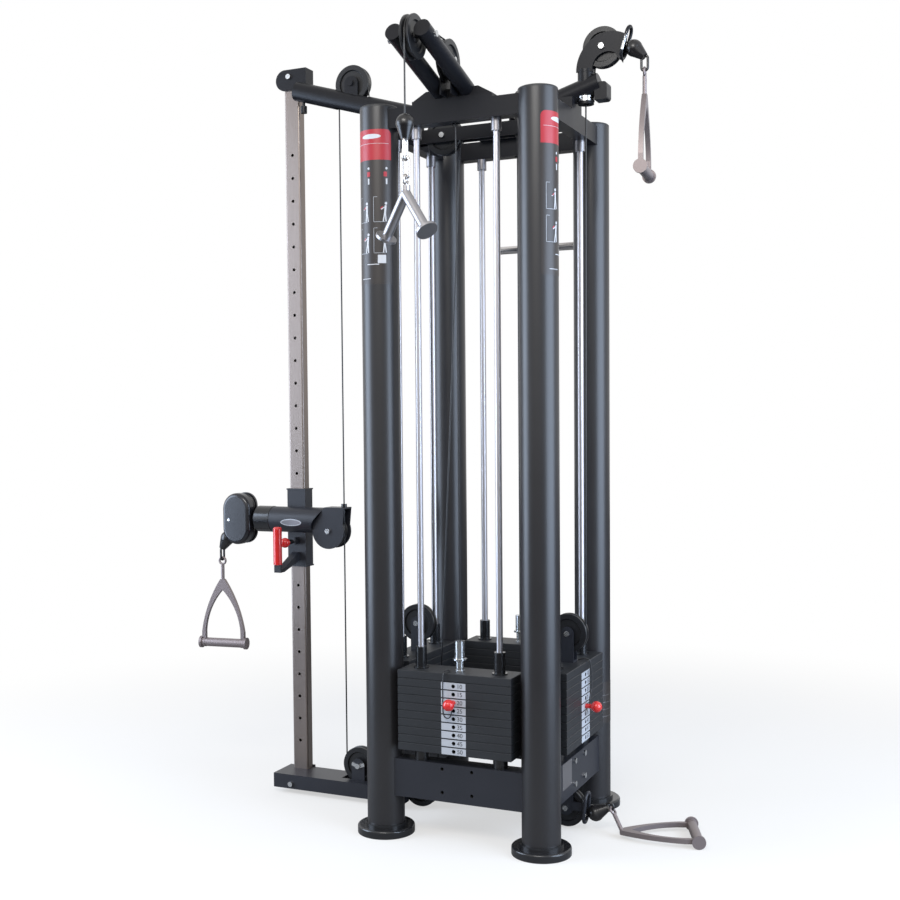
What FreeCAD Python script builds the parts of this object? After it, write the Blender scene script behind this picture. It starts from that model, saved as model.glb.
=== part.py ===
# Four-station cable tower with an outrigger column: every piece is one solid in its group's own file.
# Frame: X to the right along the front, Y to the back, Z up, floor at Z = 0, millimetres.
import FreeCAD, Part
import math
import os

V = FreeCAD.Vector
os.makedirs("parts", exist_ok=True)

# ---- tower ----
COLUMN_R = 60.0
COLUMN_WALL = 4.0
COLUMN_TOP = 2300.0
COLUMN_OFFSET = 264.0
CAP_T = 8.0
FOOT_R = 92.0
FOOT_T = 25.0
COLLAR_R = 68.0
COLLAR_T = 10.0
BEAM_FACE = 300.0
LOWER_BEAM_Z = 130.0
LOWER_BEAM_H = 120.0
LOWER_BEAM_D = 60.0
UPPER_BEAM_DROP = 76.0
UPPER_BEAM_H = 60.0
UPPER_BEAM_D = 48.0
WELD_GAP = 0.1
BOLT_PATTERN_W = 100.0
BOLT_PATTERN_H = 74.0
BOLT_PATTERN_Z = 196.0
BOLT_HOLE_R = 5.5
BOLT_HEAD_R = 9.0
BOLT_HEAD_T = 7.0
RAIL_T = 6.0
RAIL_H = 44.0
RAIL_GAP = 34.0

# ---- weight stacks ----
STACK_PLANE = 267.0
PLATE_W = 380.0
PLATE_D = 110.0
PLATE_T = 25.0
PLATE_SPACE = 0.4
PLATE_EDGE = 1.6
PLATE_COUNT = 10
LIFTED = {"front": 4, "right": 6, "rear": 4, "left": 4}
BUMPER_H = 36.0
BUMPER_R = 23.0
ROD_HALF = 133.0
ROD_R = 10.0
ROD_COLLAR_R = 16.0
ROD_COLLAR_H = 36.0
ROD_FIT = 1.0
BUSH_FIT = 0.4
BUSH_R = 17.5
BUSH_H = 68.0
BUSH_FLANGE_R = 24.0
BUSH_FLANGE_T = 4.0
STEM_R = 16.0
STEM_H = 94.0
STEM_RING_R = 22.0
STEM_RING_Z = 34.0
STEM_RING_T = 5.0
PIN_R = 5.0
PIN_FIT = 0.4
PIN_DEPTH = 72.0
KNOB_R = 18.0
KNOB_OUT = 36.0
KNOB_NECK_R = 8.0
LANYARD_R = 2.0

# ---- pulleys and cable ----
CABLE_R = 2.5
CABLE_GAP = 0.3
PULLEY_LINE_R = 56.0
PULLEY_RIM = 6.5
PULLEY_W = 28.0
GROOVE_BASE = 3.2
GROOVE_MOUTH = 7.5
AXLE_R = 6.0
AXLE_FIT = 0.05
PULLEY_HUB = 14.0
CHEEK_T = 4.0
CHEEK_GAP = 1.5

# ---- front and rear arms ----
ARM_RISE = 16.5
ARM_R = 25.0
ARM_HALF = 44.5
ARM_FOOT_Y = 282.0
ARM_FOOT_UP = 34.0
ARM_TIP_Y = 604.0
ARM_WALL = 3.0
BASE_PLATE_W = 264.0
BASE_PLATE_D = 84.0
BASE_PLATE_T = 12.0
WEDGE_W = 172.0
INNER_PULLEY_UP = 114.0
NOSE_PULLEY_IN = 36.0
NOSE_PULLEY_UP = 118.0

# ---- outrigger ----
BASE_END_X = -815.0
BASE_W = 120.0
BASE_Z = 20.0
BASE_H = 50.0
BASE_WALL = 4.0
FLANGE_T = 8.0
FLANGE_DOWN = 10.0
SLOT_W = 42.0
UPRIGHT_X = -752.0
UPRIGHT_W = 60.0
UPRIGHT_D = 38.0
UPRIGHT_FRONT = 22.0
UPRIGHT_WALL = 3.0
UPRIGHT_EDGE = 6.0
UPRIGHT_OVER = 70.8
HOLE_R = 5.5
HOLE_PITCH = 80.0
HOLE_FIRST_Z = 173.0
HOLE_COUNT = 27
TOP_TUBE_R = 32.5
TOP_TUBE_X = -264.0
TOP_TUBE_UP = 48.0
TOP_TUBE_END = -717.0
CLAMP_T = 7.0
CLAMP_H = 72.0
CLAMP_CAP = 13.0
CLAMP_REACH = 32.0
STOPPER_IN = 62.0
STOPPER_R = 11.0
STOPPER_H = 24.0
OUTER_LINE_X = -550.0
OUTRIGGER_PULLEY_UP = 63.0
OUTRIGGER_BASE_Z = 120.0
FLOOR_PULLEY_X = 260.0
FLOOR_PULLEY_Z = 67.0
FLOATING_OVER = 93.4

# ---- carriage ----
CARRIAGE_PIN_HOLE = 9
SLEEVE_WALL = 6.0
SLEEVE_FIT = 0.5
SLEEVE_LOW = 92.0
SLEEVE_HIGH = 186.0
ARM_TUBE_R = 45.0
ARM_TUBE_WALL = 4.0
ARM_TUBE_Z = 77.0
ARM_TUBE_LEFT = -896.0
ARM_TUBE_RIGHT = -600.0
COVER_R = 62.0
COVER_Z = 42.0
COVER_HALF = 28.0
COVER_T = 5.0
COVER_TOP = 125.0
CARRIAGE_LINE_R = 50.0
CARRIAGE_RIM = 6.0
INLET_R = 10.0
INLET_H = 12.0
LEVER_W = 26.0
LEVER_T = 8.0
LEVER_OUT = 133.0
LEVER_LOW = -99.0
LEVER_TOP = 60.0
LEVER_ROOT = -40.0
LEVER_GRIP_R = 15.0
POP_R = 5.0
POP_BARREL_R = 13.0
POP_BARREL_L = 26.0
POP_KNOB_R = 17.5
POP_KNOB_OUT = 80.0
POP_DRAWN_GAP = 0.4
POP_TRAVEL = 8.0
HEAD_X = -967.0
HEAD_HALF = 57.0
HEAD_TALL = 92.0
HEAD_THICK = 34.0
HEAD_BACK_HALF = 46.0
HEAD_BACK_THICK = 14.0
HEAD_INNER = 17.0
SWIVEL_LINE_R = 41.0
SWIVEL_OFFSET = 44.5
SWIVEL_RIM = 4.0

# ---- right station ----
SWIVEL_X = 330.0
SWIVEL_SEAT_UP = 116.0
SWIVEL_R = 26.0
SWIVEL_GAP = 0.5
SWIVEL_BORE = 9.0
RIGHT_TUBE_OVER = 46.0
RIGHT_TUBE_START = 236.0
HIGH_PULLEY_UP = 72.0
BEARING_UP = 19.0
BEARING_R = 25.0
STOP_BLOCK_L = 28.0
LOOP_WIRE_R = 5.5
LOOP_TALL = 108.0
LOW_LOOP_OUT = 64.0
HIGH_LOOP_OUT = 73.0
LOOP_WIDE = 56.0
HEAD_JOIN = 90.0
OUTER_JOIN = 8.0
HIGH_BALL_OUT = 154.0
HIGH_BALL_DROP = 14.0
LOW_BALL_OUT = 95.0
LOW_BALL_DROP = 11.0
LOW_TURN = 20.0
LOW_SHANK_WAY = V(0.554, -0.523, -0.646)
LEFT_TURN = 8.0
HIGH_TURN = 96.0
LEFT_LEAN = 32.0
LEFT_BALL_OUT = 62.0
INLET_ANGLE = 32.0
HEAD_SPIGOT_R = 24.0
SPIGOT_FIT = 0.08
CLEARANCE = 4.0

# ---- handles ----
BALL_R = 26.0
BALL_TAPER = 34.0
BALL_TIP_R = 12.0
WIRE_R = 4.0
LINK_L = 54.0
CHAIN_LINK_L = 68.0
LINK_W = 28.0
SHANK_L = 76.0
SHANK_R = 6.5
EYE_R = 8.0
EYE_BORE = 0.4
BOW_TALL = 226.0
BOW_HALF = 84.0
BOW_T = 15.0
BOW_W = 14.0
GRIP_R = 16.0
GRIP_DISC_R = 21.5
GRIP_DISC_T = 9.0
BAR_R = 14.5
V_SPAN = 92.0
V_DROP = 116.0
V_DISC_R = 31.0
V_DISC_T = 8.0
HUB_R = 13.0
HUB_H = 29.0
HUB_GAP = 1.0
STUD_R = 5.5
STUD_HEAD_R = 9.0
STUD_HEAD_T = 6.0
STUD_NECK_L = 7.0
V_TURN = -25.0
STRAIGHT_HALF = 205.0
PULL_BALL_DROP = 252.0


def solid_cyl(at, along, r, h):
    return Part.makeCylinder(r, h, at, along)


def rod_between(p, q, r):
    return Part.makeCylinder(r, (q - p).Length, p, q - p)


def block(x0, x1, y0, y1, z0, z1):
    return Part.makeBox(x1 - x0, y1 - y0, z1 - z0, V(x0, y0, z0))


def joined(pieces):
    whole = pieces[0]
    for piece in pieces[1:]:
        whole = whole.fuse(piece)
    return one_solid(whole.removeSplitter())


def one_solid(shape):
    """A lone solid taken out of the compound that a cut or a fuse returns."""
    return shape.Solids[0] if len(shape.Solids) == 1 else shape


def turned(shape, degrees):
    copy = shape.copy()
    copy.rotate(V(0, 0, 0), V(0, 0, 1), degrees)
    return copy


def extruded(points, y0, y1):
    """A flat outline given as (x, z) pairs, made solid between two Y values."""
    corners = [V(x, y0, z) for x, z in points]
    face = Part.Face(Part.makePolygon(corners + corners[:1]))
    return face.extrude(V(0, y1 - y0, 0))


def revolved(profile, at, along):
    """A closed outline of (radius, distance) pairs, turned about the line through a point."""
    points = [V(r, 0, d) for r, d in profile]
    face = Part.Face(Part.makePolygon(points + points[:1]))
    body = face.revolve(V(0, 0, 0), V(0, 0, 1), 360)
    body.Placement = FreeCAD.Placement(at, FreeCAD.Rotation(V(0, 0, 1), along))
    return body


def pulley(at, along, line_r, rim, width):
    """A grooved wheel whose cable's centre line runs at line_r; it turns on its own bored hub."""
    outer = line_r + rim
    base = line_r - CABLE_R - CABLE_GAP
    half = width / 2
    web = half - 5
    bore = AXLE_R + AXLE_FIT
    profile = [
        (bore, -half),
        (PULLEY_HUB, -half),
        (PULLEY_HUB + 3, -web),
        (base - 10, -web),
        (base - 7, -half),
        (outer - 1, -half),
        (outer, -half + 1),
        (outer, -GROOVE_MOUTH),
        (base, -GROOVE_BASE),
        (base, GROOVE_BASE),
        (outer, GROOVE_MOUTH),
        (outer, half - 1),
        (outer - 1, half),
        (base - 7, half),
        (base - 10, web),
        (PULLEY_HUB + 3, web),
        (PULLEY_HUB, half),
        (bore, half),
    ]
    return revolved(profile, at, along)


def axle(at, along, reach):
    """A bolt through a pulley, with a round head at each end."""
    unit = V(along).normalize()
    shank = solid_cyl(at - unit * reach, unit, AXLE_R, 2 * reach)
    head = solid_cyl(at - unit * (reach + BOLT_HEAD_T), unit, BOLT_HEAD_R, BOLT_HEAD_T)
    nut = solid_cyl(at + unit * reach, unit, BOLT_HEAD_R, BOLT_HEAD_T)
    return joined([shank, head, nut])


def tangent_points(first, second):
    """Where a tight cable leaves one circle and meets the next; a point is a circle of radius 0."""
    (x1, z1), r1, s1 = first
    (x2, z2), r2, s2 = second
    away = math.hypot(x2 - x1, z2 - z1)
    heading = math.atan2(z2 - z1, x2 - x1) - math.asin((s2 * r2 - s1 * r1) / away)
    nx, nz = -math.sin(heading), math.cos(heading)
    leave = (x1 - s1 * r1 * nx, z1 - s1 * r1 * nz)
    meet = (x2 - s2 * r2 * nx, z2 - s2 * r2 * nz)
    return leave, meet


def cable(circles, place):
    """A cable along straight runs and round pulleys; place turns a flat point into a 3-D one."""
    runs = [tangent_points(a, b) for a, b in zip(circles[:-1], circles[1:])]
    edges = []
    for i, (leave, meet) in enumerate(runs):
        edges.append(Part.LineSegment(place(*leave), place(*meet)).toShape())
        if i + 1 < len(runs):
            (cx, cz), r, sense = circles[i + 1]
            a0 = math.atan2(meet[1] - cz, meet[0] - cx)
            a1 = math.atan2(runs[i + 1][0][1] - cz, runs[i + 1][0][0] - cx)
            if sense > 0 and a1 < a0:
                a1 += 2 * math.pi
            if sense < 0 and a1 > a0:
                a1 -= 2 * math.pi
            mid = (a0 + a1) / 2
            middle = place(cx + r * math.cos(mid), cz + r * math.sin(mid))
            edges.append(Part.Arc(place(*meet), middle, place(*runs[i + 1][0])).toShape())
    path = Part.Wire(edges)
    start = path.Edges[0].Vertexes[0].Point
    along = path.Edges[0].tangentAt(path.Edges[0].FirstParameter)
    section = Part.Wire([Part.Edge(Part.Circle(start, along, CABLE_R))])
    return path.makePipeShell([section], True, False)


def on_xz(x, z):
    return V(x, 0, z)


def on_yz(y, z):
    return V(0, y, z)


def wire_loop(centre, long_way, side_way, length, width, r):
    """A closed obround ring of round wire; length and width are over the wire."""
    up = V(long_way).normalize()
    side = V(side_way).normalize()
    half = width / 2 - r
    reach = (length - width) / 2
    a = centre + up * reach - side * half
    b = centre + up * reach + side * half
    c = centre - up * reach + side * half
    d = centre - up * reach - side * half
    edges = [
        Part.LineSegment(d, a).toShape(),
        Part.Arc(a, centre + up * (reach + half), b).toShape(),
        Part.LineSegment(b, c).toShape(),
        Part.Arc(c, centre - up * (reach + half), d).toShape(),
    ]
    section = Part.Wire([Part.Edge(Part.Circle(d, up, r))])
    return Part.Wire(edges).makePipeShell([section], True, False)


PLATE_PITCH = PLATE_T + PLATE_SPACE
STACK_LOW = LOWER_BEAM_Z + LOWER_BEAM_H + BUMPER_H
STACK_TOP = STACK_LOW + PLATE_COUNT * PLATE_PITCH - PLATE_SPACE
LOWER_TOP = LOWER_BEAM_Z + LOWER_BEAM_H
UPPER_BEAM_Z = COLUMN_TOP - UPPER_BEAM_DROP
UPPER_TOP = UPPER_BEAM_Z + UPPER_BEAM_H
TOP_PULLEY_Z = UPPER_BEAM_Z + UPPER_BEAM_H / 2
FLOATING_Z = STACK_TOP + FLOATING_OVER
ARM_FOOT_Z = UPPER_TOP + ARM_FOOT_UP
INNER_PULLEY_Z = UPPER_TOP + INNER_PULLEY_UP
NOSE_PULLEY_Y = ARM_TIP_Y - NOSE_PULLEY_IN
NOSE_PULLEY_Z = UPPER_TOP + NOSE_PULLEY_UP
PULL_BALL_Z = NOSE_PULLEY_Z - PULL_BALL_DROP
TOP_TUBE_Z = UPPER_TOP + TOP_TUBE_UP
SWIVEL_SEAT_Z = UPPER_TOP + SWIVEL_SEAT_UP
HIGH_PULLEY_Z = SWIVEL_SEAT_Z + HIGH_PULLEY_UP
HIGH_BALL = (SWIVEL_X + HIGH_BALL_OUT, HIGH_PULLEY_Z - HIGH_BALL_DROP)
LOW_BALL = (FLOOR_PULLEY_X + LOW_BALL_OUT, FLOOR_PULLEY_Z - LOW_BALL_DROP)
BEARING_LOW = UPPER_TOP + BEARING_UP
RIGHT_TUBE_END = SWIVEL_X + RIGHT_TUBE_OVER
FLANGE_TOP = LOWER_BEAM_Z + LOWER_BEAM_H - FLANGE_DOWN
SLOPE = math.tan(math.radians(ARM_RISE))
RIM_R = PULLEY_LINE_R + PULLEY_RIM
CHEEK_IN = PULLEY_W / 2 + CHEEK_GAP
CHEEK_OUT = CHEEK_IN + CHEEK_T


# ---- tower ----
def column(sx, sy):
    at = V(sx * COLUMN_OFFSET, sy * COLUMN_OFFSET, FOOT_T + COLLAR_T)
    height = COLUMN_TOP - CAP_T - FOOT_T - COLLAR_T
    tube = solid_cyl(at, V(0, 0, 1), COLUMN_R, height)
    tube = tube.cut(solid_cyl(at, V(0, 0, 1), COLUMN_R - COLUMN_WALL, height))
    foot = solid_cyl(V(at.x, at.y, 0), V(0, 0, 1), FOOT_R, FOOT_T)
    foot = foot.makeFillet(6, [e for e in foot.Edges if e.BoundBox.ZMin > FOOT_T - 1 and len(e.Vertexes) == 1])
    collar = solid_cyl(V(at.x, at.y, FOOT_T), V(0, 0, 1), COLLAR_R, COLLAR_T)
    cap = solid_cyl(V(at.x, at.y, COLUMN_TOP - CAP_T), V(0, 0, 1), COLUMN_R, CAP_T)
    cap = cap.makeFillet(5, [e for e in cap.Edges if e.BoundBox.ZMin > COLUMN_TOP - 1 and len(e.Vertexes) == 1])
    return [tube, foot, collar, cap]


def ring_beam(z, height, depth):
    """One beam across the front, cut to the round columns it is welded between."""
    beam = block(-COLUMN_OFFSET, COLUMN_OFFSET, -BEAM_FACE, -BEAM_FACE + depth, z, z + height)
    for sx in (-1, 1):
        at = V(sx * COLUMN_OFFSET, -COLUMN_OFFSET, z - 1)
        beam = beam.cut(solid_cyl(at, V(0, 0, 1), COLUMN_R + WELD_GAP, height + 2))
    return one_solid(beam)


def bolt_places():
    for x in (-BOLT_PATTERN_W / 2, BOLT_PATTERN_W / 2):
        for z in (-BOLT_PATTERN_H / 2, BOLT_PATTERN_H / 2):
            yield x, BOLT_PATTERN_Z + z


def lower_beam():
    return ring_beam(LOWER_BEAM_Z, LOWER_BEAM_H, LOWER_BEAM_D)


def lower_frame():
    front = lower_beam()
    heads = []
    for x, z in bolt_places():
        front = front.cut(solid_cyl(V(x, -BEAM_FACE - 1, z), V(0, 1, 0), BOLT_HOLE_R, LOWER_BEAM_D + 2))
        heads.append(solid_cyl(V(x, -BEAM_FACE - BOLT_HEAD_T, z), V(0, 1, 0), BOLT_HEAD_R, BOLT_HEAD_T + 1))
    bolted = turned(joined([lower_beam()] + heads), 90)
    right = joined([bolted] + floor_bracket(1) + low_guide_loop())
    left = joined([turned(lower_beam(), 270)] + floor_bracket(-1))
    return [one_solid(front), right, turned(lower_beam(), 180), left]


def floor_bracket(side):
    """Two cheeks under a side beam and the bolt that carries the floor pulley."""
    x = side * FLOOR_PULLEY_X
    half = 24.0
    pieces = []
    for sy in (-1, 1):
        y0 = min(sy * CHEEK_IN, sy * CHEEK_OUT)
        pieces.append(block(x - half, x + half, y0, y0 + CHEEK_T, FLOOR_PULLEY_Z, LOWER_BEAM_Z + 1))
        pieces.append(solid_cyl(V(x, y0, FLOOR_PULLEY_Z), V(0, 1, 0), half, CHEEK_T))
    pieces.append(axle(V(x, 0, FLOOR_PULLEY_Z), V(0, -1, 0), CHEEK_OUT))
    return pieces


def low_guide_loop():
    """The wire loop that keeps the low cable on its pulley, on two arms from the cheeks."""
    x = FLOOR_PULLEY_X
    loop_at = V(x + LOW_LOOP_OUT, 0, FLOOR_PULLEY_Z + 3)
    pieces = [wire_loop(loop_at, V(0.1, 0, 1), V(0, 1, 0), LOOP_TALL, LOOP_WIDE, LOOP_WIRE_R)]
    for sy in (-1, 1):
        y0 = min(sy * CHEEK_IN, sy * CHEEK_OUT)
        pieces.append(block(x, x + LOW_LOOP_OUT, y0, y0 + CHEEK_T, FLOOR_PULLEY_Z - 6, FLOOR_PULLEY_Z + 22))
    return pieces


def top_pulley_x(side):
    return side * (STACK_PLANE - 2 * PULLEY_LINE_R)


def upper_frame():
    plain = ring_beam(UPPER_BEAM_Z, UPPER_BEAM_H, UPPER_BEAM_D)
    front = plain.cut(solid_cyl(V(0, -STACK_PLANE, UPPER_BEAM_Z - 1), V(0, 0, 1), INLET_R, UPPER_BEAM_H + 2))
    sides = [front, turned(plain, 90), turned(front, 180), turned(plain, 270)]
    inner = BEAM_FACE - UPPER_BEAM_D
    rail_z = TOP_PULLEY_Z - RAIL_H / 2
    rails = []
    for sy in (-1, 1):
        y0 = min(sy * RAIL_GAP / 2, sy * (RAIL_GAP / 2 + RAIL_T))
        rails.append(block(-inner, inner, y0, y0 + RAIL_T, rail_z, rail_z + RAIL_H))
    for side in (-1, 1):
        rails.append(axle(V(top_pulley_x(side), 0, TOP_PULLEY_Z), V(0, -1, 0), RAIL_GAP / 2 + RAIL_T))
    return sides + [joined(rails)]


def top_pulleys():
    along = V(0, 1, 0)
    return [pulley(V(top_pulley_x(s), 0, TOP_PULLEY_Z), along, PULLEY_LINE_R, PULLEY_RIM, PULLEY_W) for s in (-1, 1)]


# ---- weight stacks, built at the front and turned to their side ----
def guide_rods():
    pieces = []
    for sx in (-1, 1):
        at = V(sx * ROD_HALF, -STACK_PLANE, LOWER_TOP)
        pieces.append(solid_cyl(at, V(0, 0, 1), ROD_R, UPPER_BEAM_Z - LOWER_TOP))
        low = V(at.x, at.y, UPPER_BEAM_Z - ROD_COLLAR_H)
        sleeve = solid_cyl(low, V(0, 0, 1), ROD_COLLAR_R, ROD_COLLAR_H)
        pieces[-1] = joined([pieces[-1], sleeve])
    return pieces


def weight_plate(z, bore, pinned):
    low = -STACK_PLANE - PLATE_D / 2
    plate = block(-PLATE_W / 2, PLATE_W / 2, low, low + PLATE_D, z, z + PLATE_T)
    long_edges = [e for e in plate.Edges if abs(e.BoundBox.ZLength) < 1]
    plate = plate.makeChamfer(PLATE_EDGE, long_edges)
    for sx in (-1, 1):
        plate = plate.cut(solid_cyl(V(sx * ROD_HALF, -STACK_PLANE, z - 1), V(0, 0, 1), bore, PLATE_T + 2))
    if pinned:
        hole = solid_cyl(V(0, low - 1, z + PLATE_T / 2), V(0, 1, 0), PIN_R + PIN_FIT, PIN_DEPTH + 3)
        plate = plate.cut(hole)
    return plate


def lift_low(lifted):
    """Underside of the lowest plate that the pin picks up."""
    return STACK_LOW + (PLATE_COUNT - lifted) * PLATE_PITCH


def pin_z(lifted):
    return lift_low(lifted) + PLATE_T / 2


def resting_stack(lifted):
    pieces = []
    for i in range(PLATE_COUNT - lifted):
        pieces.append(weight_plate(STACK_LOW + i * PLATE_PITCH, ROD_R + ROD_FIT, True))
    for sx in (-1, 1):
        at = V(sx * ROD_HALF, -STACK_PLANE, LOWER_TOP)
        bumper = solid_cyl(at, V(0, 0, 1), BUMPER_R, BUMPER_H)
        pieces.append(bumper.cut(solid_cyl(at, V(0, 0, 1), ROD_R + WELD_GAP, BUMPER_H)))
    return pieces


def slide_bush(sx):
    at = V(sx * ROD_HALF, -STACK_PLANE, STACK_TOP)
    bush = solid_cyl(at, V(0, 0, 1), BUSH_R, BUSH_H)
    bush = bush.fuse(solid_cyl(at, V(0, 0, 1), BUSH_FLANGE_R, BUSH_FLANGE_T))
    return bush.cut(solid_cyl(at - V(0, 0, 1), V(0, 0, 1), ROD_R + BUSH_FIT, BUSH_H + 2)).removeSplitter()


def lifted_stack(floating, lifted):
    pieces = []
    for i in range(lifted):
        pieces.append(weight_plate(lift_low(lifted) + i * PLATE_PITCH, ROD_R + ROD_FIT, i + 1 < lifted))
    pieces += [slide_bush(-1), slide_bush(1)]
    if floating:
        pieces.append(turned(floating_bracket(), 90))
    else:
        pieces.append(lift_stem())
    return pieces


def lift_stem():
    at = V(0, -STACK_PLANE, STACK_TOP)
    stem = solid_cyl(at, V(0, 0, 1), STEM_R, STEM_H)
    ring = solid_cyl(at + V(0, 0, STEM_RING_Z), V(0, 0, 1), STEM_RING_R, STEM_RING_T)
    neck_cut = Part.makeCylinder(STEM_R + 1, STEM_RING_Z - 6, at + V(0, 0, 3), V(0, 0, 1))
    neck = solid_cyl(at + V(0, 0, 3), V(0, 0, 1), STEM_R - 3, STEM_RING_Z - 6)
    body = joined([stem.cut(neck_cut), neck, ring])
    return body


def floating_bracket():
    """Cheeks over a side stack's pulley; the pulley stands across the stack, in the XZ plane.

    It is drawn for the left side, and the stack that is turned to the left takes it back through a right angle."""
    x = -STACK_PLANE
    half = 21.0
    pieces = [block(x - half, x + half, -CHEEK_OUT, CHEEK_OUT, STACK_TOP, STACK_TOP + 6)]
    for sy in (-1, 1):
        y0 = min(sy * CHEEK_IN, sy * CHEEK_OUT)
        pieces.append(block(x - half, x + half, y0, y0 + CHEEK_T, STACK_TOP, FLOATING_Z))
        pieces.append(solid_cyl(V(x, y0, FLOATING_Z), V(0, 1, 0), half, CHEEK_T))
    pieces.append(axle(V(x, 0, FLOATING_Z), V(0, -1, 0), CHEEK_OUT))
    return joined(pieces)


def floating_pulley(side):
    return pulley(V(side * STACK_PLANE, 0, FLOATING_Z), V(0, 1, 0), PULLEY_LINE_R, PULLEY_RIM, PULLEY_W)


def selector_pin(lifted):
    face = -STACK_PLANE - PLATE_D / 2
    z = pin_z(lifted)
    shaft = solid_cyl(V(0, face + PIN_DEPTH, z), V(0, -1, 0), PIN_R, PIN_DEPTH + KNOB_OUT)
    neck = Part.makeCone(KNOB_NECK_R, KNOB_NECK_R - 0.5, KNOB_OUT - 12, V(0, face - 1, z), V(0, -1, 0))
    knob = Part.makeSphere(KNOB_R, V(0, face - KNOB_OUT, z))
    return joined([shaft, neck, knob])


def lanyard_start(side):
    """From the stem's foot over the stack's front edge, on the side given by the sign."""
    face = -STACK_PLANE - PLATE_D / 2
    return [
        V(side * 26, -STACK_PLANE - STEM_R - 6, STACK_TOP + LANYARD_R + CABLE_GAP),
        V(side * 29, face - 4, STACK_TOP + 15),
        V(side * 31, face - 10, STACK_TOP - 25),
    ]


def looped_lanyard(lifted):
    """Down past the pin's left side, round below it and up to the underside of its neck."""
    face = -STACK_PLANE - PLATE_D / 2
    z = pin_z(lifted)
    low = z - 47
    high = STACK_TOP - 25
    return lanyard_start(-1) + [
        V(-31, face - 10, (low + high) / 2),
        V(-30, face - 11, low),
        V(0, face - 12, low),
        V(0, face - 12, z - KNOB_NECK_R - CABLE_GAP),
    ]


def straight_lanyard(lifted):
    """Down the pin's right side and in to the top of its neck."""
    face = -STACK_PLANE - PLATE_D / 2
    z = pin_z(lifted)
    low = z + 45
    high = STACK_TOP - 25
    return lanyard_start(1) + [
        V(30, face - 11, (low + high) / 2),
        V(26, face - 12, low),
        V(4, face - 12, z + 30),
        V(0, face - 12, z + KNOB_NECK_R + CABLE_GAP),
    ]


def cord(points, r):
    """A cord through straight runs joined by tangent arcs, each as large as its two runs allow."""
    edges = []
    radii = []
    at = points[0]
    for before, here, after in zip(points[:-2], points[1:-1], points[2:]):
        u = V(here - before).normalize()
        w = V(after - here).normalize()
        turn = u.getAngle(w)
        short = min((here - before).Length, (after - here).Length)
        radius = 0.45 * short / math.tan(turn / 2)
        back = radius * math.tan(turn / 2)
        a = here - u * back
        b = here + w * back
        bend = V(w - u).normalize()
        middle = here + bend * (radius / math.cos(turn / 2) - radius)
        edges.append(Part.LineSegment(at, a).toShape())
        edges.append(Part.Arc(a, middle, b).toShape())
        radii.append(round(radius, 1))
        at = b
    edges.append(Part.LineSegment(at, points[-1]).toShape())
    path = Part.Wire(edges)
    section = Part.Wire([Part.Edge(Part.Circle(points[0], points[1] - points[0], r))])
    tube = path.makePipeShell([section], True, False)
    print("cord radii", radii, "length", round(path.Length, 1))
    print("cord volume", round(tube.Volume, 1), "section times length", round(math.pi * r * r * path.Length, 1))
    return tube


# ---- front and rear arms, built at the front ----
def arms():
    drop = math.radians(ARM_RISE)
    along = V(0, -math.cos(drop), math.sin(drop))
    length = (ARM_TIP_Y - ARM_FOOT_Y) / math.cos(drop)
    pieces = []
    for sx in (-1, 1):
        foot = V(sx * ARM_HALF, -ARM_FOOT_Y, ARM_FOOT_Z)
        pieces.append(solid_cyl(foot, along, ARM_R, length))
    back = -BEAM_FACE + BASE_PLATE_D
    half = BASE_PLATE_W / 2
    pieces.append(block(-half, half, -BEAM_FACE, back, UPPER_TOP, UPPER_TOP + BASE_PLATE_T))
    top = ARM_FOOT_Z + 4
    wedge = [
        (-half, UPPER_TOP + BASE_PLATE_T),
        (half, UPPER_TOP + BASE_PLATE_T),
        (WEDGE_W / 2, top),
        (-WEDGE_W / 2, top),
    ]
    pieces.append(extruded(wedge, -BEAM_FACE + 4, -BEAM_FACE + 34))
    inner_y = -STACK_PLANE - PULLEY_LINE_R
    for sx in (-1, 1):
        x0 = min(sx * CHEEK_IN, sx * CHEEK_OUT)
        foot_y = back - 22
        cheek = block(x0, x0 + CHEEK_T, inner_y - 20, foot_y, UPPER_TOP + BASE_PLATE_T, INNER_PULLEY_Z)
        corner = block(x0, x0 + CHEEK_T, inner_y + 20, foot_y + 1, INNER_PULLEY_Z - 40, INNER_PULLEY_Z + 1)
        pieces.append(cheek.cut(corner))
        pieces.append(solid_cyl(V(x0, inner_y, INNER_PULLEY_Z), V(1, 0, 0), 20, CHEEK_T))
    pieces.append(axle(V(0, inner_y, INNER_PULLEY_Z), V(1, 0, 0), CHEEK_OUT))
    pieces.append(axle(V(0, -NOSE_PULLEY_Y, NOSE_PULLEY_Z), V(1, 0, 0), ARM_HALF + ARM_R - 1))
    whole = joined(pieces)
    passage = solid_cyl(V(0, -STACK_PLANE, UPPER_TOP - 1), V(0, 0, 1), INLET_R, 60)
    return whole.cut(passage)


def nose_pulley():
    return pulley(V(0, -NOSE_PULLEY_Y, NOSE_PULLEY_Z), V(1, 0, 0), PULLEY_LINE_R, PULLEY_RIM, PULLEY_W)


def inner_pulley():
    at = V(0, -STACK_PLANE - PULLEY_LINE_R, INNER_PULLEY_Z)
    return pulley(at, V(1, 0, 0), PULLEY_LINE_R, PULLEY_RIM, PULLEY_W)


# ---- cables ----
LIFT_JOIN_Z = UPPER_TOP + 6
LIFT_JOIN_SIDE_Z = TOP_PULLEY_Z - 6
LINE_Y = -(NOSE_PULLEY_Y + PULLEY_LINE_R)
OUTRIGGER_X = OUTER_LINE_X + PULLEY_LINE_R


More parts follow.
